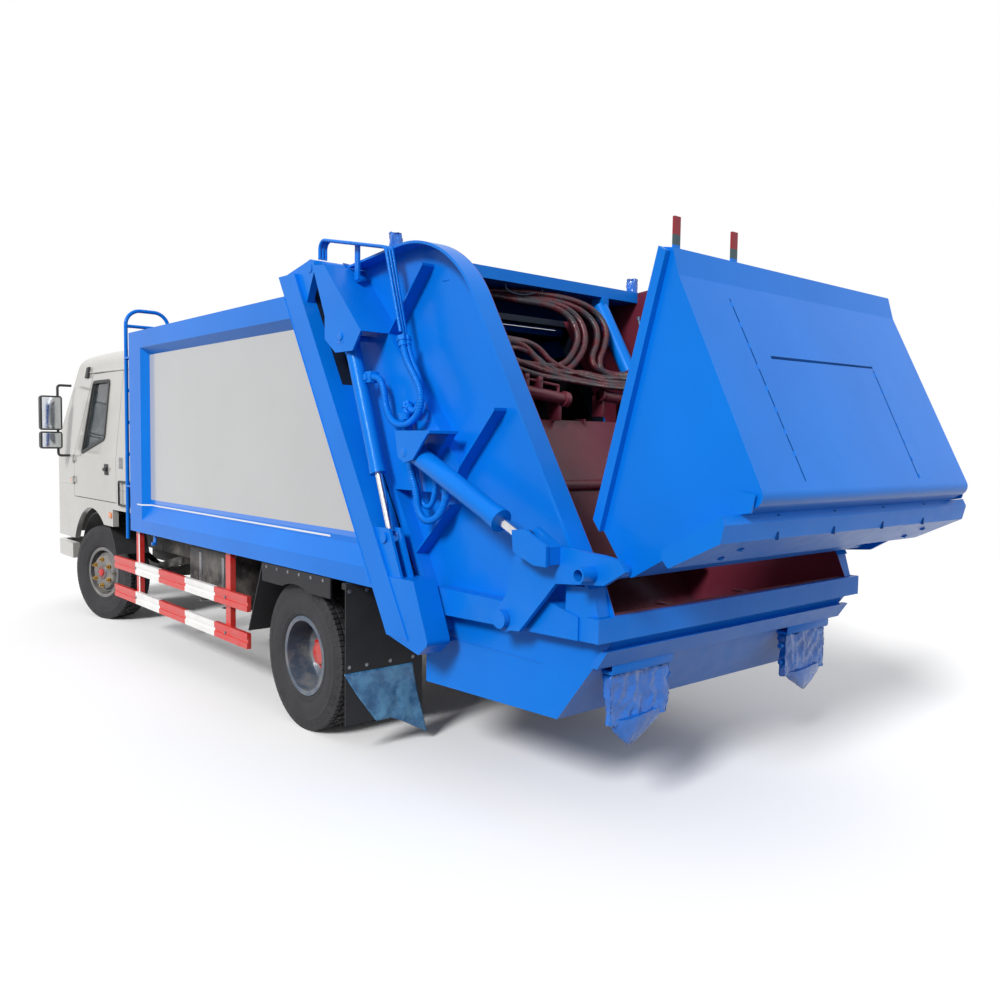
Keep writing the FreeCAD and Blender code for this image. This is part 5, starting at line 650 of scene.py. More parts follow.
def tyreShape(bm, place):
    side = tyre["section"]
    profile = list(side)
    for start, end in tyre["bands"]:
        profile += [(tyre["groove"], start + 0.0015), (tyre["tread"], start), (tyre["tread"], end),
                    (tyre["groove"], end - 0.0015)]
    profile += [(radius, -along) for radius, along in reversed(side)]
    added = lathe(bm, profile, Matrix.Identity(4), tyre["steps"], closed=True)
    own = set(added)
    faces = [face for face in bm.faces if all(vert in own for vert in face.verts)]
    lugs = []
    for face in faces:
        middle = face.calc_center_median()
        radius = math.hypot(middle.x, middle.y)
        if radius < tyre["tread"] - 0.002 or face.calc_area() < 0.0003:
            continue
        step = round(math.atan2(middle.y, middle.x) / math.tau * tyre["steps"] - 0.5) % tyre["steps"]
        shoulder = abs(middle.z) > 0.06
        if shoulder or (step + (1 if middle.z > 0.02 else 0)) % 3:
            lugs.append(face)
    bmesh.ops.recalc_face_normals(bm, faces=faces)
    bmesh.ops.inset_individual(bm, faces=lugs, thickness=0.0034, depth=tyre["radius"] - tyre["tread"],
                               use_even_offset=True)
    flanks = [face for face in faces if face.is_valid and 0.349 < face.calc_center_median().xy.length < 0.378]
    pads = [face for face in flanks
            if round(math.atan2(face.calc_center_median().y, face.calc_center_median().x) / math.tau
                     * tyre["steps"] - 0.5) % 2 == 0]
    bmesh.ops.inset_individual(bm, faces=pads, thickness=0.002, depth=0.0018, use_even_offset=True)
    own = {vert for vert in bm.verts if vert not in tyreShape.done}
    bmesh.ops.transform(bm, matrix=place, verts=list(own))
    tyreShape.done |= own


wheelNames = {"front_wheel_left": ("front_tyre_left", 1), "front_wheel_right": ("front_tyre_right", -1),
              "rear_wheels_left": ("rear_tyres_left", 1), "rear_wheels_right": ("rear_tyres_right", -1)}
for body, (node, side) in wheelNames.items():
    bm = bmesh.new()
    tyreShape.done = set()
    place = wheelPlace(body + "_spin")
    for shift in ((0.125, -0.125) if body.startswith("rear") else (0,)):
        tyreShape(bm, place @ Matrix.Translation((0, 0, shift)))
    finished(node.replace("tyre", "treaded_tyre"), bm, body, "tyreRubber", 30, [node])
print("tyres ready")

# Wheel fittings: nuts round each hub, hub caps and valves
hubs = {
    "front": {"nuts": 6, "circle": 0.111, "foot": 0.0955, "nut": 0.0165, "cap": 0.060, "capFoot": 0.098,
              "capHeight": 0.016, "valve": 0.15},
    "rear": {"nuts": 8, "circle": 0.087, "foot": 0.0, "nut": 0.017, "cap": 0.070, "capFoot": 0.102,
             "capHeight": 0.03, "valve": 0.15},
}
for body, (node, side) in wheelNames.items():
    front = body.startswith("front")
    hub = hubs["front" if front else "rear"]
    place = wheelPlace(body + "_spin")
    outward = Vector((0, 0, side))
    bm = bmesh.new()
    if front:
        for index in range(hub["nuts"]):
            turn = math.tau * (index + 0.5) / hub["nuts"]
            foot = Vector((hub["circle"] * math.cos(turn), hub["circle"] * math.sin(turn), side * hub["foot"]))
            hexNut(bm, foot, outward, hub["nut"], 0.017, 0.014)
        nutFinish = "brass"
    else:
        for index in range(hub["nuts"]):
            turn = math.tau * (index + 0.5) / hub["nuts"]
            foot = Vector((hub["circle"] * math.cos(turn), hub["circle"] * math.sin(turn), side * 0.0145))
            hexNut(bm, foot, outward, hub["nut"], 0.02, 0.026)
        nutFinish = "redPaint"
    bmesh.ops.transform(bm, matrix=place, verts=bm.verts)
    finished(body + "_nuts", bm, body, nutFinish)
    bm = bmesh.new()
    radius, foot, rise = hub["cap"], hub["capFoot"], hub["capHeight"]
    if front:
        profile = [(0.0, foot + rise), (radius * 0.42, foot + rise), (radius * 0.5, foot + rise * 0.86),
                   (radius * 0.52, foot + 0.004),
                   (radius * 0.94, foot + 0.003), (radius, foot), (radius, foot - 0.02), (0, foot - 0.02)]
    else:
        profile = [(0.0, 0.1300), (0.045, 0.1300), (0.060, 0.126), (0.066, 0.118), (0.066, 0.100),
                   (0.088, 0.098), (0.091, 0.094),
                   (0.091, 0.074), (0.066, 0.070), (0.066, 0.042), (0, 0.042)]
    lathe(bm, [(one, along * side) for one, along in profile], Matrix.Identity(4), 48)
    ring = radius * (0.74 if front else 1.11)
    for index in range(8):
        turn = math.tau * index / 8
        top = (foot + 0.003) if front else 0.0975
        bolt(bm, (ring * math.cos(turn), ring * math.sin(turn), side * top), outward, 0.0062 if front else 0.0085,
             0.008 if front else 0.016)
    bmesh.ops.transform(bm, matrix=place, verts=bm.verts)
    finished(body + "_hub_cap", bm, body, "redPaint")
    bm = bmesh.new()
    depth = 0.05 if front else 0.10
    drum(bm, (0.172, 0, side * depth), (0.158, 0, side * (depth + 0.045)), 0.0045, 0.004, 10)
    drum(bm, (0.158, 0, side * (depth + 0.045)), (0.155, 0, side * (depth + 0.056)), 0.0055, segments=10)
    bmesh.ops.transform(bm, matrix=place, verts=bm.verts)
    finished(body + "_valve", bm, body, "brass")
print("wheels ready")

# Cab: its sides lean in above the waist, so a point on its skin follows from its height
cab = {"half": 0.970, "roofHalf": 0.880, "waist": 1.400, "roof": 2.290, "front": 4.930, "rear": 2.800,
       "floor": 0.980, "screenBase": 1.420,
       "baseFront": 4.870, "topFront": 4.310, "topZ": 2.248}


def cabSide(x, z, out=0.0):
    lean = (cab["half"] - cab["roofHalf"]) / (cab["roof"] - cab["waist"])
    return at(x, cab["half"] - max(0.0, z - cab["waist"]) * lean + out, z)


def screenPoint(y, share, out=0.0):
    x = cab["baseFront"] + (cab["topFront"] - cab["baseFront"]) * share
    z = cab["screenBase"] + (cab["topZ"] - cab["screenBase"]) * share
    return at(x, y, z) + Vector((0.829, 0, 0.559)) * out


sideWindow = [(3.470, 1.555), (4.040, 1.425), (3.890, 2.030), (3.470, 2.030)]
for side, sign in (("left", 1), ("right", -1)):
    bm = bmesh.new()
    outline = [cabSide(x, z, 0.0015) for x, z in sideWindow]
    centre = sum(outline, Vector()) / 4
    wide = [point + (point - centre).normalized() * 0.020 for point in outline]
    frameRing(bm, [Vector((p.x, p.y * sign, p.z)) for p in wide], 0.026, 0.006, (0, sign, 0.1))
    finished("window_seal_" + side, bm, "door_" + side, "trimPlastic")
    bm = bmesh.new()
    recess = [cabSide(3.435, 1.345, 0.001), cabSide(3.345, 1.345, 0.001), cabSide(3.335, 1.255, 0.001),
              cabSide(3.425, 1.255, 0.001)]
    plate(bm, [Vector((p.x, p.y * sign, p.z)) for p in recess], (0, sign, 0), 0.005, 0.002)
    grip = [cabSide(3.420, 1.315, 0.007), cabSide(3.352, 1.318, 0.007), cabSide(3.352, 1.288, 0.007),
            cabSide(3.420, 1.285, 0.007)]
    plate(bm, [Vector((p.x, p.y * sign, p.z)) for p in grip], (0, sign, 0), 0.016, 0.004)
    lock = [cabSide(3.385, 1.272, out) for out in (0.004, 0.009)]
    if sign < 0:
        lock = [Vector((cabSide(3.385, 1.272).x, -one.y, 1.272)) for one in lock]
    drum(bm, *lock, 0.010, segments=18)
    finished("door_handle_" + side, bm, "door_" + side, "trimPlastic")

bm = bmesh.new()
corners = [screenPoint(0.795, 0.075, 0.002), screenPoint(-0.795, 0.075, 0.002), screenPoint(-0.775, 0.905, 0.002),
           screenPoint(0.775, 0.905, 0.002)]
frameRing(bm, corners, 0.034, 0.006, (0.829, 0, 0.559))
finished("screen_seal", bm, "cab", "trimPlastic")

wiper = {"feet": (0.42, -0.22), "back": 0.28, "tip": 0.16}
bm = bmesh.new()
for foot in wiper["feet"]:
    start = screenPoint(foot, 0.03, 0.018)
    end = screenPoint(foot - 0.36, 0.20, 0.022)
    drum(bm, screenPoint(foot, 0.03, 0), start + Vector((0.02, 0, 0.01)), 0.014, 0.010, 16)
    drum(bm, start, end, 0.0065, 0.004, 10)
    drum(bm, end + (end - start).normalized() * -wiper["back"], end + (end - start).normalized() * wiper["tip"],
         0.0055, 0.0055, 8)
finished("wipers", bm, "cab", "trimPlastic")

# Front face: grille, headlamps, indicators and the bumper's fog lamps
face = {"grilleLow": 1.10, "grilleHigh": 1.30, "grilleHalf": 0.46, "bars": 5, "lampLow": 0.735, "lampHigh": 0.90,
        "lampIn": 0.52, "lampOut": 0.80}
bm = bmesh.new()
block(bm, at(4.915, -face["grilleHalf"], face["grilleLow"]), at(4.9225, face["grilleHalf"], face["grilleHigh"]),
      0.006)
pitch = (face["grilleHigh"] - face["grilleLow"]) / face["bars"]
for index in range(face["bars"]):
    level = face["grilleLow"] + pitch * (index + 0.5)
    block(bm, at(4.9215, -face["grilleHalf"] + 0.03, level - 0.010),
          at(4.9270, face["grilleHalf"] - 0.03, level + 0.010), 0.0025)
finished("grille", bm, "cab", "trimPlastic")
bm = bmesh.new()
for points in ((face["lampIn"], face["lampOut"]), (-face["lampOut"], -face["lampIn"])):
    block(bm, at(4.90, points[0], face["lampLow"]), at(4.9215, points[1], face["lampHigh"]), 0.008, 3)
finished("lamp_housings", bm, "cab", "trimPlastic")
bm = bmesh.new()
for sign in (1, -1):
    for middle in (0.595, 0.715):
        dome = [(0.0, 0.0065), (0.020, 0.006), (0.036, 0.0045), (0.046, 0.001), (0.048, -0.004), (0.0, -0.004)]
        lathe(bm, dome, facing(at(4.9215, sign * middle, 0.818), at(5.2, sign * middle, 0.818))[0], 32)
finished("headlamps", bm, "cab", "clearLens")
bm = bmesh.new()
for sign in (1, -1):
    block(bm, at(4.9205, sign * 0.770, 0.750), at(4.9275, sign * 0.795, 0.886), 0.003)
    block(bm, cabSide(4.29, 1.160, 0.0) if sign > 0 else Vector((cabSide(4.29, 0).x, -0.970, 1.160)),
          Vector((cabSide(4.36, 0).x, sign * 0.978, 1.195)), 0.003)
finished("indicators", bm, "cab", "amberLens")
bm = bmesh.new()
for sign in (1, -1):
    dome = [(0.0, 0.008), (0.028, 0.006), (0.040, 0.0), (0.0, 0.0)]
    lathe(bm, dome, facing(at(4.921, sign * 0.62, 0.537), at(5.2, sign * 0.62, 0.537))[0], 28)
finished("fog_lamps", bm, "truck", "clearLens")

# The amber lamp in the wing behind the left and right front wheel, and the bare label places
bm = bmesh.new()
for sign in (1, -1):
    block(bm, at(3.262, sign * 0.9695, 0.905), at(3.345, sign * 0.9765, 0.952), 0.004)
finished("side_lamps", bm, "cab", "amberLens")
bm = bmesh.new()
for sign in (1, -1):
    block(bm, at(2.99, sign * 0.9698, 1.315), at(3.08, sign * 0.9712, 1.405), 0.0004)
finished("bare_labels", bm, "cab", "steel")

# Roof drip rail and the black air intake by the brow
gutter = {"low": 2.105, "front": 4.00, "rear": 2.84, "rise": 0.018, "radius": 0.0085}
bm = bmesh.new()
for sign in (1, -1):
    start = cabSide(gutter["rear"], gutter["low"], 0.003)
    end = cabSide(gutter["front"], gutter["low"] + gutter["rise"], 0.003)
    drum(bm, (start.x, start.y * sign, start.z), (end.x, end.y * sign, end.z), gutter["radius"], segments=10)
finished("drip_rails", bm, "cab", "creamPaint")
bm = bmesh.new()
for sign in (1, -1):
    low = [cabSide(4.02, 2.085, 0.0), cabSide(4.10, 2.075, 0.0), cabSide(4.065, 2.170, 0.0),
           cabSide(4.02, 2.175, 0.0)]
    plate(bm, [Vector((p.x, p.y * sign, p.z)) for p in low], (0, sign, 0), 0.022, 0.006)
finished("brow_vents", bm, "cab", "trimPlastic")

# Pressed line along the cab's side and the shut line under the door
bm = bmesh.new()
for sign in (1, -1):
    for x0, x1, z in ((2.83, 3.14, 1.150), (4.28, 4.70, 1.150)):
        drum(bm, at(x0, sign * 0.9700, z), at(x1, sign * 0.9700, z), 0.006, segments=8)
finished("cab_swages", bm, "cab", "creamPaint")

# Bent tube frame behind the cab
bm = bmesh.new()
rail = {"rear": 2.765, "front": 3.06, "low": 1.03, "high": 1.215, "y": 0.985, "tube": 0.008}
for sign in (1, -1):
    corners = [at(rail["front"], sign * 0.962, rail["high"]),
               at(rail["front"] - 0.015, sign * rail["y"], rail["high"]), at(2.80, sign * rail["y"], rail["high"])]
    low = [Vector((point.x, point.y, rail["low"])) for point in corners]
    posts = [(corners[-1], low[-1]), (corners[0], low[0]), (corners[1], low[1])]
    for one, other in list(zip(corners, corners[1:])) + list(zip(low, low[1:])) + posts:
        drum(bm, one, other, rail["tube"], segments=10)
        bmesh.ops.create_uvsphere(bm, u_segments=10, v_segments=6, radius=rail["tube"],
                                  matrix=Matrix.Translation(other))
finished("tube_frames", bm, "cab", "trimPlastic")

# Mirror glasses face backwards, and each case gets two clips
mirrorFaces = ((1.034, 1.215, 1.620, 1.925), (1.034, 1.215, 1.455, 1.608))
bm = bmesh.new()
for sign in (1, -1):
    for y0, y1, z0, z1 in mirrorFaces:
        block(bm, at(4.3685, sign * (y0 + 0.014), z0 + 0.014), at(4.3705, sign * (y1 - 0.014), z1 - 0.014), 0.0008)
finished("mirror_glasses", bm, "cab", "mirrorGlass")
bm = bmesh.new()
for sign in (1, -1):
    for y0, y1, z0, z1 in mirrorFaces:
        for z in (z0 + (z1 - z0) * 0.3, z0 + (z1 - z0) * 0.7):
            drum(bm, at(4.4, sign * 1.064, z), at(4.4, sign * (y0 + 0.02), z), 0.007, segments=10)
finished("mirror_clips", bm, "cab", "trimPlastic")
print("cab ready")

# Cab inside: seats with swelled cushions, dash, wheel
seat = {"y": 0.43, "rear": 2.990, "length": 0.46, "half": 0.24, "low": 1.025, "top": 1.325, "backTop": 1.945}


def cushion(name, low, high, lean, crown):
    bm = bmesh.new()
    block(bm, low, high)
    bmesh.ops.subdivide_edges(bm, edges=bm.edges, cuts=7, use_grid_fill=True)
    low, high = Vector(low), Vector(high)
    middle, reach = (low + high) / 2, (high - low) / 2
    for vert in bm.verts:
        share = Vector([(vert.co[axis] - middle[axis]) / reach[axis] for axis in range(3)])
        swell = Vector([share[axis] * crown * reach[axis] * (1 - share[(axis + 1) % 3] ** 2)
                        * (1 - share[(axis + 2) % 3] ** 2) for axis in range(3)])
        pull = Vector([-share[axis] * 0.016 * abs(share[(axis + 1) % 3]) ** 4 * abs(share[(axis + 2) % 3]) ** 4
                       for axis in range(3)])
        seam = 0.006 * math.exp(-((abs(share.y) - 0.55) / 0.07) ** 2)
        vert.co += swell * 0.5 + pull - share * seam
        vert.co.x += lean * (vert.co.z - low.z)
    made = finished(name, bm, "cab", "seatCloth", 60)
    made.modifiers.new("smooth", "SUBSURF").levels = 1
    made.modifiers["smooth"].render_levels = 1
    return made


for side, sign in (("left", 1), ("right", -1)):
    inner, outer = sorted((sign * seat["y"] - seat["half"], sign * seat["y"] + seat["half"]))
    low = at(seat["rear"] + 0.01, inner + 0.012, seat["top"] - 0.155)
    cushion("seat_cushion_" + side, low,
            at(seat["rear"] + seat["length"] - 0.012, outer - 0.012, seat["top"] - 0.012), 0.0, 0.10)
    cushion("seat_back_" + side, at(seat["rear"] - 0.015, inner + 0.016, seat["top"] + 0.008),
            at(seat["rear"] + 0.085, outer - 0.016, seat["backTop"] - 0.02), -0.055, 0.35)
bm = bmesh.new()
for sign in (1, -1):
    block(bm, at(seat["rear"] + 0.03, sign * seat["y"] - 0.20, seat["low"]),
          at(seat["rear"] + seat["length"] - 0.04, sign * seat["y"] + 0.20, seat["top"] - 0.156), 0.012)
points = [(4.67, 1.03), (4.81, 1.03), (4.81, 1.300), (4.735, 1.392), (4.64, 1.402), (4.52, 1.392), (4.46, 1.34),
          (4.45, 1.28), (4.60, 1.22)]
plate(bm, [at(x, -0.755, z) for x, z in points], (0, 1, 0), 1.51, 0.012)
block(bm, at(4.47, 0.25, 1.385), at(4.62, 0.61, 1.445), 0.02, 3)
block(bm, at(4.475, -0.12, 1.22), at(4.50, 0.12, 1.34), 0.006)
finished("dash_and_seat_boxes", bm, "cab", "dashPlastic", 38, ["cab_interior"])
bm = bmesh.new()
wheelMiddle, lean = at(4.336, 0.43, 1.528), math.radians(40)
tilted = Matrix.Translation(wheelMiddle) @ Matrix.Rotation(-lean, 4, "Y")
ring = [(0.205 + 0.0135 * math.cos(math.tau * index / 12), 0.0135 * math.sin(math.tau * index / 12))
        for index in range(12)]
lathe(bm, ring, tilted, 48, closed=True)
for turn in (0.15, math.pi - 0.15, -math.pi / 2):
    drum(bm, tilted @ Vector((0.03 * math.sin(turn), 0.03 * math.cos(turn), -0.012)),
         tilted @ Vector((0.2 * math.sin(turn), 0.2 * math.cos(turn), -0.001)), 0.011, 0.009, 10)
drum(bm, tilted @ Vector((0, 0, -0.025)), tilted @ Vector((0, 0, 0.012)), 0.052, 0.045, 24)
drum(bm, tilted @ Vector((0, 0, -0.22)), tilted @ Vector((0, 0, -0.02)), 0.026, 0.022, 18)
finished("steering_wheel", bm, "cab", "trimPlastic")
print("cab inside ready")

# Load body: weld beads, cleats under the sill, rivets on the fender, bolts on the guards
bead = {"radius": 0.0035, "step": 0.011}


def weldBead(bm, start, end, radius=None):
    start, end = Vector(start), Vector(end)
    radius = radius or bead["radius"]
    steps = max(2, int((end - start).length / bead["step"]))
    drum(bm, start, end, radius * 0.8, segments=8)
    for index in range(steps):
        middle = start.lerp(end, (index + 0.5) / steps)
        along = (end - start).normalized() * bead["step"] * 0.42
        drum(bm, middle - along, middle + along, radius * (0.75 + 0.35 * noise.noise(middle * 90)), radius * 0.9, 8)


def slantX(z):
    return 0.098 - 0.6 * 2.328 + 0.6 * z


bm = bmesh.new()
for sign in (1, -1):
    weldBead(bm, at(slantX(0.90) + 0.001, sign * 1.0805, 0.90), at(slantX(2.32) + 0.001, sign * 1.0805, 2.32))
    weldBead(bm, at(2.22, sign * 1.0305, 1.097), at(2.22, sign * 1.0305, 2.154))
finished("body_welds", bm, "truck", "bluePaint")
bm = bmesh.new()
for sign in (1, -1):
    for x in (2.13, 0.02):
        block(bm, at(x - 0.022, sign * 1.030, 0.820), at(x + 0.022, sign * 1.042, 0.884), 0.003)
        block(bm, at(x - 0.014, sign * 1.028, 0.800), at(x + 0.014, sign * 1.060, 0.822), 0.004)
finished("sill_cleats", bm, "truck", "bluePaint")
bm = bmesh.new()
for sign in (1, -1):
    for index in range(6):
        bolt(bm, at(-0.30 + index * 0.125, sign * 1.0718, 0.855), (0, sign, 0), 0.007, 0.004)
    for y in (0.70, 0.84, 0.98, 1.08):
        bolt(bm, at(-0.568, sign * y, 0.835), (-1, 0, 0), 0.008, 0.005)
        bolt(bm, at(-0.568, sign * y, 0.46), (-1, 0, 0), 0.007, 0.005)
finished("fender_bolts", bm, "truck", "steel")
bm = bmesh.new()
for sign in (1, -1):
    for x in (2.43, 0.87):
        for z in (0.60, 0.38):
            bolt(bm, at(x + 0.033, sign * 1.0602, z), (0, sign, 0), 0.009, 0.0055)
finished("guard_bolts", bm, "truck", "steel")

# Tail lamps by the mud flap
bm = bmesh.new()
for sign in (1, -1):
    block(bm, at(-0.60, sign * 0.70, 0.905), at(-0.585, sign * 0.86, 0.955), 0.004)
finished("rear_reflectors", bm, "truck", "redLens")

# Battery box, air bottle straps and the tank's cap
bm = bmesh.new()
for x in (1.22, 1.58):
    block(bm, at(x - 0.018, 0.466, 0.466), at(x + 0.018, 0.934, 0.474), 0.002)
    block(bm, at(x - 0.018, 0.928, 0.53), at(x + 0.018, 0.934, 0.80), 0.002)
    block(bm, at(x - 0.018, 0.50, 0.862), at(x + 0.018, 0.90, 0.870), 0.002)
drum(bm, at(1.68, 0.82, 0.866), at(1.68, 0.82, 0.905), 0.042, segments=24, bevel=0.006)
for x in (1.95, 2.25):
    lathe(bm, [(0.1185, -0.016), (0.1215, -0.016), (0.1215, 0.016), (0.1185, 0.016)],
          facing(at(x, -0.80, 0.69), at(x + 1, -0.80, 0.69))[0], 40, closed=True)
finished("tank_straps", bm, "truck", "steel")

# Roof of the body: two hatch covers near the ladder
bm = bmesh.new()
for y in (0.80, -0.1):
    block(bm, at(1.98, y - 0.16, 2.3281), at(2.30, y + 0.16, 2.346), 0.006)
    drum(bm, at(2.14, y, 2.346), at(2.14, y, 2.366), 0.05, segments=24, bevel=0.005)
finished("roof_covers", bm, "truck", "bluePaint")
print("body trim ready")

# Crumpled film: a copy of the CAD form is refined, then its points are moved by folded noise
def crumpled(name, node, cuts, fold, finishName, body, scale=16.0, seed=0.0):
    bm = bmesh.new()
    bm.from_mesh(nodes[node].data)
    bmesh.ops.remove_doubles(bm, verts=bm.verts, dist=0.0001)
    bmesh.ops.dissolve_limit(bm, angle_limit=0.02, verts=bm.verts, edges=bm.edges)
    bmesh.ops.triangulate(bm, faces=bm.faces)
    for length in cuts:
        long = [edge for edge in bm.edges if edge.calc_length() > length]
        bmesh.ops.subdivide_edges(bm, edges=long, cuts=1)
        bmesh.ops.triangulate(bm, faces=bm.faces)
    bmesh.ops.smooth_vert(bm, verts=bm.verts, factor=0.5, use_axis_x=True, use_axis_y=True, use_axis_z=True)
    bmesh.ops.recalc_face_normals(bm, faces=bm.faces)
    bm.normal_update()
    for vert in bm.verts:
        place = vert.co * scale + Vector((seed, seed * 2, 0))
        ridge = 1 - abs(noise.noise(place)) * 2.6
        fine = 1 - abs(noise.noise(place * 2.7)) * 2.6
        vert.co -= vert.normal * fold * (1 - (0.65 * ridge + 0.35 * fine))
    return finished(name, bm, body, finishName, 70, [node])


crumpled("film_on_lamps", "wrapped_lamps", (0.12, 0.06, 0.03, 0.016, 0.016), 0.010, "blueWrap", "filler")

# Bags of film hanging under the two low lamps, gathered to a tail
bag = {"x": -1.974, "z": 0.470, "depth": 0.052, "half": 0.165}


def filmBag(bm, middleY, tailY, drop):
    rows, columns = 9, 34
    ringRows = []
    for row in range(rows):
        share = row / (rows - 1)
        narrow = (1 - share ** 1.5) * 0.93 + 0.05
        ring = []
        for column in range(columns):
            turn = math.tau * column / columns
            pleat = 1 + 0.16 * math.cos(turn * 11 + share * 5) * share * (1 - share * 0.5)
            y = middleY + (tailY - middleY) * share + bag["half"] * narrow * math.cos(turn) * pleat
            x = bag["x"] - 0.028 + bag["depth"] * 0.55 * narrow * math.sin(turn) * pleat
            z = bag["z"] + 0.02 - drop * share + 0.006 * math.cos(turn * 3)
            ring.append(bm.verts.new(at(x, y, z)))
        ringRows.append(ring)
    for upper, lower in zip(ringRows, ringRows[1:]):
        for column in range(columns):
            beside = (column + 1) % columns
            bm.faces.new((upper[column], upper[beside], lower[beside], lower[column]))
    bm.faces.new(ringRows[0])
    bm.faces.new(list(reversed(ringRows[-1])))


bm = bmesh.new()
filmBag(bm, 0.615, 0.66, 0.118)
filmBag(bm, -0.615, -0.64, 0.11)
finished("film_bags", bm, "filler", "blueWrap", 75)
bm = bmesh.new()
for middle, sign in ((0.615, 1), (-0.615, -1)):
    block(bm, at(-2.030, middle - 0.185, 0.676), at(-1.972, middle + 0.185, 0.690), 0.003)
    block(bm, at(-2.032, middle - 0.185, 0.684), at(-2.028, middle + 0.185, 0.716), 0.001)
    drum(bm, at(-2.000, middle - sign * 0.180, 0.620), at(-2.000, middle - sign * 0.200, 0.620), 0.013,
         segments=14, bevel=0.002)
    drum(bm, at(-2.000, middle - sign * 0.180, 0.540), at(-2.000, middle - sign * 0.196, 0.540), 0.010,
         segments=14, bevel=0.002)
finished("lamp_frames", bm, "filler", "bluePaint")

# The sheet of film on the left mud flap: hung from its top edge, folded over, with a twisted tail
sheetSizes = {"x": -0.568, "top": 0.430, "low": 0.165, "inner": 0.700, "outer": 1.108, "columns": 40,
              "rows": 34, "tail": 0.045, "swing": 0.095, "narrow": 0.22}


def flapSheet():
    bm = bmesh.new()
    rows, columns = sheetSizes["rows"], sheetSizes["columns"]
    grid = []
    for row in range(rows + 1):
        down = row / rows
        line = []
        for column in range(columns + 1):
            across = column / columns
            y = sheetSizes["outer"] - (sheetSizes["outer"] - sheetSizes["inner"]) * across
            low = sheetSizes["low"] - (sheetSizes["low"] - sheetSizes["tail"]) * max(0.0, across * 1.4 - 0.4) ** 1.1
            z = sheetSizes["top"] - (sheetSizes["top"] - low) * down
            narrowed = 1 - sheetSizes["narrow"] * down
            y = sheetSizes["inner"] + (y - sheetSizes["inner"]) * narrowed - sheetSizes["swing"] * down ** 1.3
            wander = 1.4 * noise.noise(Vector((across * 4, down * 4, 1.3)))
            fold = math.sin((across * 1.9 + down * 1.25) * 9.5 + wander)
            crease = 1 - abs(noise.noise(Vector((across * 6 + down * 4, down * 5 - across * 3, 4.2)))) * 2.2
            x = (sheetSizes["x"] - 0.0012 - 0.0022 * (1 + fold) * min(1, down * 3) * 0.7
                 - 0.0016 * (1 + crease) * min(1, down * 4))
            line.append(bm.verts.new(at(x, y, z)))
        grid.append(line)
    for upper, lower in zip(grid, grid[1:]):
        for column in range(columns):
            bm.faces.new((upper[column], lower[column], lower[column + 1], upper[column + 1]))
    made = finished("loose_flap_film", bm, "truck", "clearFilm", 80, ["flap_film"])
    made.modifiers.new("thickness", "SOLIDIFY").thickness = 0.0006


flapSheet()
print("films ready")

# Hoses: smooth splines of round section that end in fittings
hoseCount = 0


def hose(points, radius, body, finishName="bluePaint", wrap=True):
    global hoseCount
    hoseCount += 1
    data = bpy.data.curves.new("hose_%d" % hoseCount, "CURVE")
    data.dimensions = "3D"
    line = data.splines.new("NURBS")
    line.points.add(len(points) - 1)
    for place, point in zip(line.points, points):
        place.co = (*point, 1)
    line.order_u = 3
    line.use_endpoint_u = True
    line.resolution_u = 10
    bare = bpy.data.objects.new("bare", data)
    measured = bpy.data.meshes.new_from_object(bare)
    route = [vert.co.copy() for vert in measured.vertices]
    bpy.data.objects.remove(bare)
    bpy.data.meshes.remove(measured)
    length = sum((other - one).length for one, other in zip(route, route[1:]))
    data.bevel_depth = radius
    data.bevel_resolution = 5
    data.use_fill_caps = True
    made = bpy.data.objects.new("hose_%d" % hoseCount, data)
    bpy.context.scene.collection.objects.link(made)
    data.materials.append(finishes[finishName])
    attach(made, body)
    if wrap:
        bm = bmesh.new()
        gap = 0.012
        reach, goal = 0.0, 0.03
        for one, other in zip(route, route[1:]):
            step = (other - one).length
            while goal < reach + step and goal < length - 0.03:
                middle = one.lerp(other, (goal - reach) / step)
                along = (other - one).normalized()
                place = facing(middle - along * 0.0035, middle + along * 0.0035)[0]
                tilt = Matrix.Rotation(0.35, 4, "X")
                ring = [(radius * 0.98, -0.0035), (radius * 1.16, -0.002), (radius * 1.16, 0.002),
                        (radius * 0.98, 0.0035)]
                lathe(bm, ring, place @ Matrix.Translation((0, 0, 0.0035)) @ tilt, 12, closed=True)
                goal += gap
            reach += step
        finished("hose_wrap_%d" % hoseCount, bm, body, finishName, 50)
    bm = bmesh.new()
    for end, inward in ((route[0], route[1]), (route[-1], route[-2])):
        along = (inward - end).normalized()
        drum(bm, end, end + along * radius * 3.2, radius * 1.35, segments=16)
        drum(bm, end - along * radius * 0.2, end + along * radius * 1.4, radius * 1.75, segments=6)
    finished("hose_fittings_%d" % hoseCount, bm, body, finishName, 40)
    return made

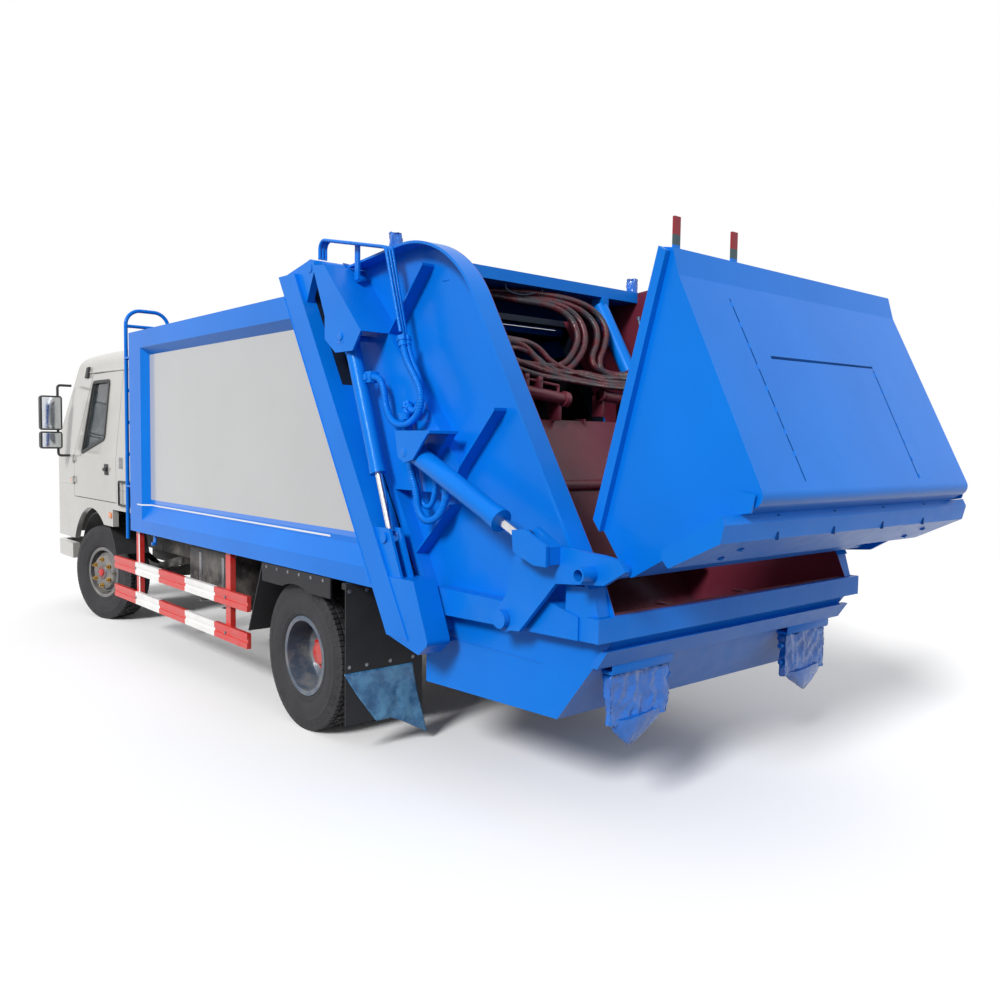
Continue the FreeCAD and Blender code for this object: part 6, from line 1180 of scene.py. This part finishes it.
# Hoses in the hopper, wrapped and sprayed over, with the blade's cylinders that they feed
hopperRoutes = [
    [(-0.42, 0.24, 2.400), (-0.60, 0.05, 2.398), (-0.655, -0.10, 2.392), (-0.69, -0.27, 2.380),
     (-0.715, -0.40, 2.350), (-0.755, -0.465, 2.29),
     (-0.813, -0.452, 2.205), (-0.876, -0.368, 2.105), (-0.93, -0.265, 2.02), (-0.965, -0.250, 1.955),
     (-0.975, -0.37, 1.925), (-0.960, -0.515, 1.935)],
    [(-0.42, 0.20, 2.398), (-0.60, 0.02, 2.372), (-0.675, -0.15, 2.362), (-0.713, -0.30, 2.335),
     (-0.758, -0.372, 2.28), (-0.807, -0.381, 2.21),
     (-0.869, -0.312, 2.115), (-0.905, -0.235, 2.045), (-0.950, -0.200, 1.985), (-0.965, -0.30, 1.950),
     (-0.955, -0.42, 1.948), (-0.945, -0.515, 1.962)],
    [(-0.42, 0.25, 2.398), (-0.60, 0.07, 2.358), (-0.703, -0.094, 2.345), (-0.742, -0.205, 2.315),
     (-0.785, -0.262, 2.255), (-0.844, -0.248, 2.163),
     (-0.90, -0.176, 2.07), (-0.947, -0.066, 1.992), (-0.977, 0.03, 1.943), (-0.988, 0.12, 1.925),
     (-0.975, 0.18, 1.945), (-0.94, 0.215, 2.003),
     (-0.905, 0.26, 2.06), (-0.90, 0.35, 2.080), (-0.890, 0.45, 2.070), (-0.880, 0.535, 2.078)],
    [(-0.42, 0.30, 2.398), (-0.62, 0.12, 2.345), (-0.722, -0.07, 2.325), (-0.765, -0.165, 2.285),
     (-0.805, -0.200, 2.225), (-0.855, -0.180, 2.14),
     (-0.895, -0.110, 2.065), (-0.935, -0.020, 2.00), (-0.955, 0.07, 1.965), (-0.965, 0.20, 1.960),
     (-0.955, 0.36, 1.970), (-0.935, 0.525, 1.990)],
    [(-0.880, 0.535, 2.085), (-0.895, 0.45, 2.096), (-0.888, 0.33, 2.092), (-0.888, 0.22, 2.086),
     (-0.905, 0.150, 2.055), (-0.945, 0.115, 1.99),
     (-0.985, 0.04, 1.950), (-0.995, -0.08, 1.925), (-0.992, -0.25, 1.908), (-0.972, -0.42, 1.908),
     (-0.955, -0.515, 1.922)],
    [(-0.915, 0.535, 2.030), (-0.935, 0.44, 2.012), (-0.955, 0.355, 1.978), (-0.972, 0.27, 1.955),
     (-0.985, 0.19, 1.935), (-0.995, 0.05, 1.912),
     (-1.000, -0.12, 1.895), (-1.000, -0.28, 1.890), (-0.985, -0.43, 1.890), (-0.968, -0.515, 1.905)],
    [(-0.945, 0.535, 1.985), (-0.955, 0.46, 1.982), (-0.975, 0.40, 1.945), (-0.99, 0.315, 1.922),
     (-1.0, 0.21, 1.905), (-1.006, 0.06, 1.897),
     (-1.010, -0.10, 1.885), (-1.010, -0.28, 1.875), (-0.995, -0.43, 1.876), (-0.972, -0.515, 1.892)],
    [(-0.880, 0.530, 2.055), (-0.90, 0.47, 2.062), (-0.915, 0.40, 2.035), (-0.905, 0.33, 2.050),
     (-0.915, 0.25, 2.035), (-0.935, 0.19, 2.00),
     (-0.965, 0.15, 1.955), (-0.990, 0.05, 1.930), (-0.985, -0.08, 1.945), (-0.985, -0.22, 1.925),
     (-0.975, -0.38, 1.930), (-0.955, -0.515, 1.945)],
]
for index, route in enumerate(hopperRoutes):
    hose([at(*point) for point in route], 0.0165 if index < 4 else 0.0135, "filler", "hopperHose")

bladeRams = {"z": 1.835, "radius": 0.031, "left": (-0.985, 0.385), "right": (-1.010, 0.055), "rightLow": 1.795,
             "farLeft": (-0.965, -0.24), "farRight": (-0.975, -0.495)}
bm = bmesh.new()
for start, end, low in ((bladeRams["left"], bladeRams["right"], bladeRams["rightLow"]),
                        (bladeRams["farLeft"], bladeRams["farRight"], 1.808)):
    first, last = at(*start, bladeRams["z"]), at(*end, low)
    along = (last - first).normalized()
    drum(bm, first, last, bladeRams["radius"], segments=36, bevel=0.002)
    drum(bm, last - along * 0.030, last + along * 0.004, bladeRams["radius"] * 1.3, segments=36, bevel=0.004)
    drum(bm, first, first + along * 0.022, bladeRams["radius"] * 1.18, segments=36, bevel=0.003)
    for share in ((0.16, 0.42) if low < 1.80 else ()):
        foot = first.lerp(last, share)
        block(bm, foot + Vector((-0.022, -0.014, 0)), foot + Vector((0.022, 0.014, 0.085)), 0.003)
        drum(bm, foot + Vector((-0.027, 0, 0.066)), foot + Vector((0.027, 0, 0.066)), 0.008, segments=6)
    drum(bm, first.lerp(last, 0.10) + Vector((0, 0, 0.062)), first.lerp(last, 0.82) + Vector((0, 0, 0.062)),
         0.008, segments=14)
    drum(bm, first.lerp(last, 0.82) + Vector((0, 0, 0.066)), first.lerp(last, 0.82) + Vector((0, 0, 0.02)),
         0.008, segments=14)
    for share in (0.12, 0.86):
        foot = first.lerp(last, share)
        block(bm, foot + Vector((-0.004, -0.012, -0.115)), foot + Vector((0.075, 0.012, 0.0)), 0.004)
finished("blade_rams", bm, "carriage", "maroonPaint")
bm = bmesh.new()
discFoot = at(-1.012, 0.428, 1.820)
drum(bm, discFoot, discFoot + Vector((0.012, 0, 0)), 0.062, segments=40, bevel=0.003)
for step in range(6):
    turn = math.tau * step / 6
    foot = discFoot + Vector((0, 0.038 * math.cos(turn), 0.038 * math.sin(turn)))
    bolt(bm, foot, (-1, 0, 0), 0.007, 0.006)
for side in (0.30, -0.12, -0.50):
    block(bm, at(-0.975, side - 0.006, 1.60), at(-0.905, side + 0.006, 1.70), 0.003)
finished("carriage_fittings", bm, "carriage", "maroonPaint")

# The thin wire that loops under the roof beam, and the one beside the far ram
hose([at(-0.64, 0.165, 2.415), at(-0.645, 0.170, 2.392), at(-0.65, 0.120, 2.372), at(-0.65, 0.03, 2.372),
      at(-0.65, -0.05, 2.395), at(-0.65, -0.10, 2.412)], 0.0028,
     "filler", "blueWire", wrap=False)
hose([at(-0.72, -0.828, 2.33), at(-0.75, -0.822, 2.24), at(-0.79, -0.815, 2.16), at(-0.85, -0.825, 2.06)],
     0.006, "filler", "blueWire", wrap=False)

# Wrapped hoses on each side: from the pipes' ends to the lift cylinder and down to the tilt cylinder
sideRoutes = [
    (0.015, [(-0.866, 0.990, 2.045), (-0.905, 1.000, 1.960), (-0.968, 1.003, 1.885), (-1.028, 1.003, 1.815),
             (-1.046, 1.003, 1.735), (-0.998, 1.003, 1.668),
             (-0.905, 1.003, 1.640), (-0.815, 1.003, 1.655), (-0.758, 1.003, 1.725), (-0.742, 1.003, 1.815),
             (-0.700, 1.006, 1.880), (-0.615, 1.015, 1.872)]),
    (0.013, [(-0.868, 0.965, 2.045), (-0.915, 0.975, 1.955), (-0.985, 0.978, 1.865), (-1.015, 0.980, 1.790),
             (-0.995, 0.980, 1.725), (-0.930, 0.972, 1.700), (-0.865, 0.955, 1.740)]),
    (0.015, [(-0.865, 0.955, 1.745), (-0.885, 0.965, 1.640), (-0.905, 0.980, 1.535), (-0.940, 0.985, 1.430),
             (-0.985, 0.985, 1.335), (-1.000, 0.985, 1.250), (-1.065, 0.985, 1.205),
             (-1.130, 0.965, 1.235), (-1.162, 0.955, 1.300), (-1.178, 0.953, 1.365)]),
    (0.012, [(-0.875, 0.955, 1.700), (-0.900, 0.952, 1.560), (-0.935, 0.955, 1.440), (-0.965, 0.957, 1.345),
             (-0.985, 0.958, 1.290), (-1.040, 0.952, 1.265), (-1.080, 0.950, 1.320), (-1.095, 0.952, 1.420)]),
]
for radius, route in sideRoutes:
    for sign in (1, -1):
        hose([at(x, y * sign, z) for x, y, z in route], radius, "filler", "bluePaint")
bm = bmesh.new()
for sign in (1, -1):
    drum(bm, at(-0.905, 1.003 * sign, 1.640) + Vector((-0.012, 0, 0.03)),
         at(-0.905, 1.003 * sign, 1.640) + Vector((-0.012, 0, 0.055)), 0.026, segments=20)
    block(bm, at(-0.925, 0.932 * sign, 1.690) if sign > 0 else at(-0.925, -1.012, 1.690), at(-0.870, 1.012, 1.697)
          if sign > 0 else at(-0.870, -0.932, 1.697), 0.002)
    block(bm, at(-0.665, 0.975 * sign, 1.845) if sign > 0 else at(-0.665, -1.030, 1.845), at(-0.610, 1.030, 1.900)
          if sign > 0 else at(-0.610, -0.975, 1.900), 0.006)
finished("hose_clips", bm, "filler", "bluePaint")
print("hoses ready")

# A cover between the filler's roof beam and the body, in the painted shade blue: a dark sheet that stands for the
# shade under the roof beam
bm = bmesh.new()
block(bm, at(-0.335, -0.848, 2.424), at(-0.150, 0.848, 2.432), 0.001)
block(bm, at(-0.158, -0.848, 2.352), at(-0.150, 0.848, 2.432), 0.001)
finished("roof_cover", bm, "filler", "darkBlue")
print("hopper ready")

# The bucket: seams and slot of its rear face drawn as thin strips of painted shade, lugs at its lower corners, ribs
# under it, bracket bolts
bucket = {"foldX": -2.300, "foldZ": 2.172, "rearX": -2.683, "rearZ": 1.389, "lowX": -2.102, "lowZ": 1.060,
          "proud": 0.0012}


def onRear(z, y, out=0.0):
    run = Vector((bucket["rearX"] - bucket["foldX"], 0, bucket["rearZ"] - bucket["foldZ"]))
    normal = Vector((run.z, 0, -run.x)).normalized()
    share = (bucket["foldZ"] - z) / (bucket["foldZ"] - bucket["rearZ"])
    return at(bucket["foldX"] + run.x * share, y, z) + normal * out


def onUnder(x, y, out=0.0):
    run = Vector((bucket["lowX"] - bucket["rearX"], 0, bucket["lowZ"] - bucket["rearZ"]))
    normal = Vector((run.z, 0, -run.x)).normalized()
    share = (x - bucket["rearX"]) / (bucket["lowX"] - bucket["rearX"])
    return at(x, y, bucket["rearZ"] + run.z * share) + normal * out


def seam(bm, start, end, width, out):
    along = (end - start).normalized()
    aside = Vector((0, 1, 0)) if abs(along.y) < 0.5 else Vector((along.z, 0, -along.x)).cross(Vector((0, 1, 0)))
    normal = along.cross(aside).normalized()
    if normal.x > 0:
        normal = -normal
    aside = normal.cross(along).normalized() * width / 2
    plate(bm, [start - aside, start + aside, end + aside, end - aside], normal, out)


bm = bmesh.new()
# painted shade: the seams and the slot are thin proud strips in the shade blue
seam(bm, onRear(2.114, 0.533), onRear(1.450, 0.5107), 0.0035, bucket["proud"])
seam(bm, onRear(1.900, -0.368), onRear(1.450, -0.3572), 0.0035, bucket["proud"])
slotShadePoints = [onRear(1.896, 0.409), onRear(1.906, 0.409), onRear(1.916, -0.370), onRear(1.908, -0.370)]
normal = (onRear(1.9, 0, 0.01) - onRear(1.9, 0)).normalized()
plate(bm, slotShadePoints, normal, bucket["proud"])
finished("bucket_seams", bm, "bucket", "darkBlue")
bm = bmesh.new()
for index in range(8):
    z = 2.10 - index * 0.078
    weldBead(bm, onRear(z, 0.5326 - (2.114 - z) * 0.034, 0.0005),
             onRear(z - 0.018, 0.5326 - (2.132 - z) * 0.034, 0.0005), 0.0032)
for index in range(7):
    z = 1.885 - index * 0.07
    weldBead(bm, onRear(z, -0.3675, 0.0005), onRear(z - 0.014, -0.3672, 0.0005), 0.0032)
for y in (0.30, -0.05, -0.30):
    weldBead(bm, onUnder(-2.60, y, 0.001), onUnder(-2.52, y, 0.001), 0.003)
finished("bucket_welds", bm, "bucket", "bluePaint")

# Lugs beside the comb and ribs, and dark strips of painted shade in the comb's cut ends
bm = bmesh.new()
for sign in (1, -1):
    lug = [at(-2.585, 0.812 * sign, 1.420), at(-2.655, 0.812 * sign, 1.412), at(-2.640, 0.812 * sign, 1.350),
           at(-2.560, 0.812 * sign, 1.335)]
    plate(bm, lug if sign > 0 else list(reversed(lug)), (0, sign, 0), 0.008)
    for x in (-2.52, -2.44):
        bolt(bm, at(x, 0.700 * sign, 1.215 + (x + 2.52) * -0.5), (0.2, 0, -1), 0.012, 0.010)
for y in (0.62, 0.30, -0.05, -0.40, -0.72):
    foot = [at(-2.30, y, 1.168), at(-2.375, y, 1.198), at(-2.365, y, 1.158), at(-2.31, y, 1.140)]
    plate(bm, foot, (0, 1, 0), 0.008)
finished("bucket_lugs", bm, "bucket", "bluePaint")
bm = bmesh.new()
# painted shade: dark strips in the comb's gaps
combGapShade = {"width": 0.012, "places": (0.60, 0.22, -0.16, -0.52)}
for y in combGapShade["places"]:
    block(bm, at(-2.606, y - combGapShade["width"] / 2, 1.245), at(-2.598, y + combGapShade["width"] / 2, 1.335))
finished("comb_gaps", bm, "bucket", "darkBlue")

# Filler: small lugs, lifting eye, pin keepers, welds along the rim, ribs and hull
bm = bmesh.new()
for sign in (1, -1):
    for x, z, radius in ((-1.030, 1.520, 0.021), (-0.490, 2.070, 0.020)):
        y = 1.086 if x < -0.9 else 1.0885
        drum(bm, at(x, (y - 0.006) * sign, z), at(x, (y + 0.004) * sign, z), radius, segments=28, bevel=0.0015)
        block(bm, at(x - 0.028, (y - 0.004) * sign, z - 0.032) if sign > 0 else at(x - 0.028, -y, z - 0.032),
              at(x + 0.028, y * sign, z - 0.024) if sign > 0 else at(x + 0.028, -y + 0.004, z - 0.024), 0.001)
    block(bm, at(-0.985, 0.930 if sign > 0 else -0.948, 0.640), at(-0.925, 0.948 if sign > 0 else -0.930, 0.690),
          0.004)
    block(bm, at(-1.10, 0.861 if sign > 0 else -0.905, 0.655), at(-1.05, 0.905 if sign > 0 else -0.861, 0.662), 0.002)
finished("filler_lugs", bm, "filler", "bluePaint")
bm = bmesh.new()
for sign in (1, -1):
    y = 0.8605 * sign
    weldBead(bm, at(-0.93, y, 0.672), at(-1.70, y, 0.672), 0.003)
    weldBead(bm, at(-0.915, y, 0.80), at(-0.915, y, 1.42), 0.003)
    for x in (-0.60, -0.80, -1.0):
        weldBead(bm, at(x, y, 2.30), at(x - 0.05, y, 2.30), 0.003)
finished("filler_welds", bm, "filler", "bluePaint")

# Lifting bars on the packer's trough that show under the bucket
bm = bmesh.new()
for y in (0.40, -0.15):
    block(bm, at(-1.99, y - 0.02, 0.902), at(-1.92, y + 0.02, 0.910), 0.003)
finished("trough_pads", bm, "filler", "maroonPaint")
print("bucket ready")

print("pieces ready")
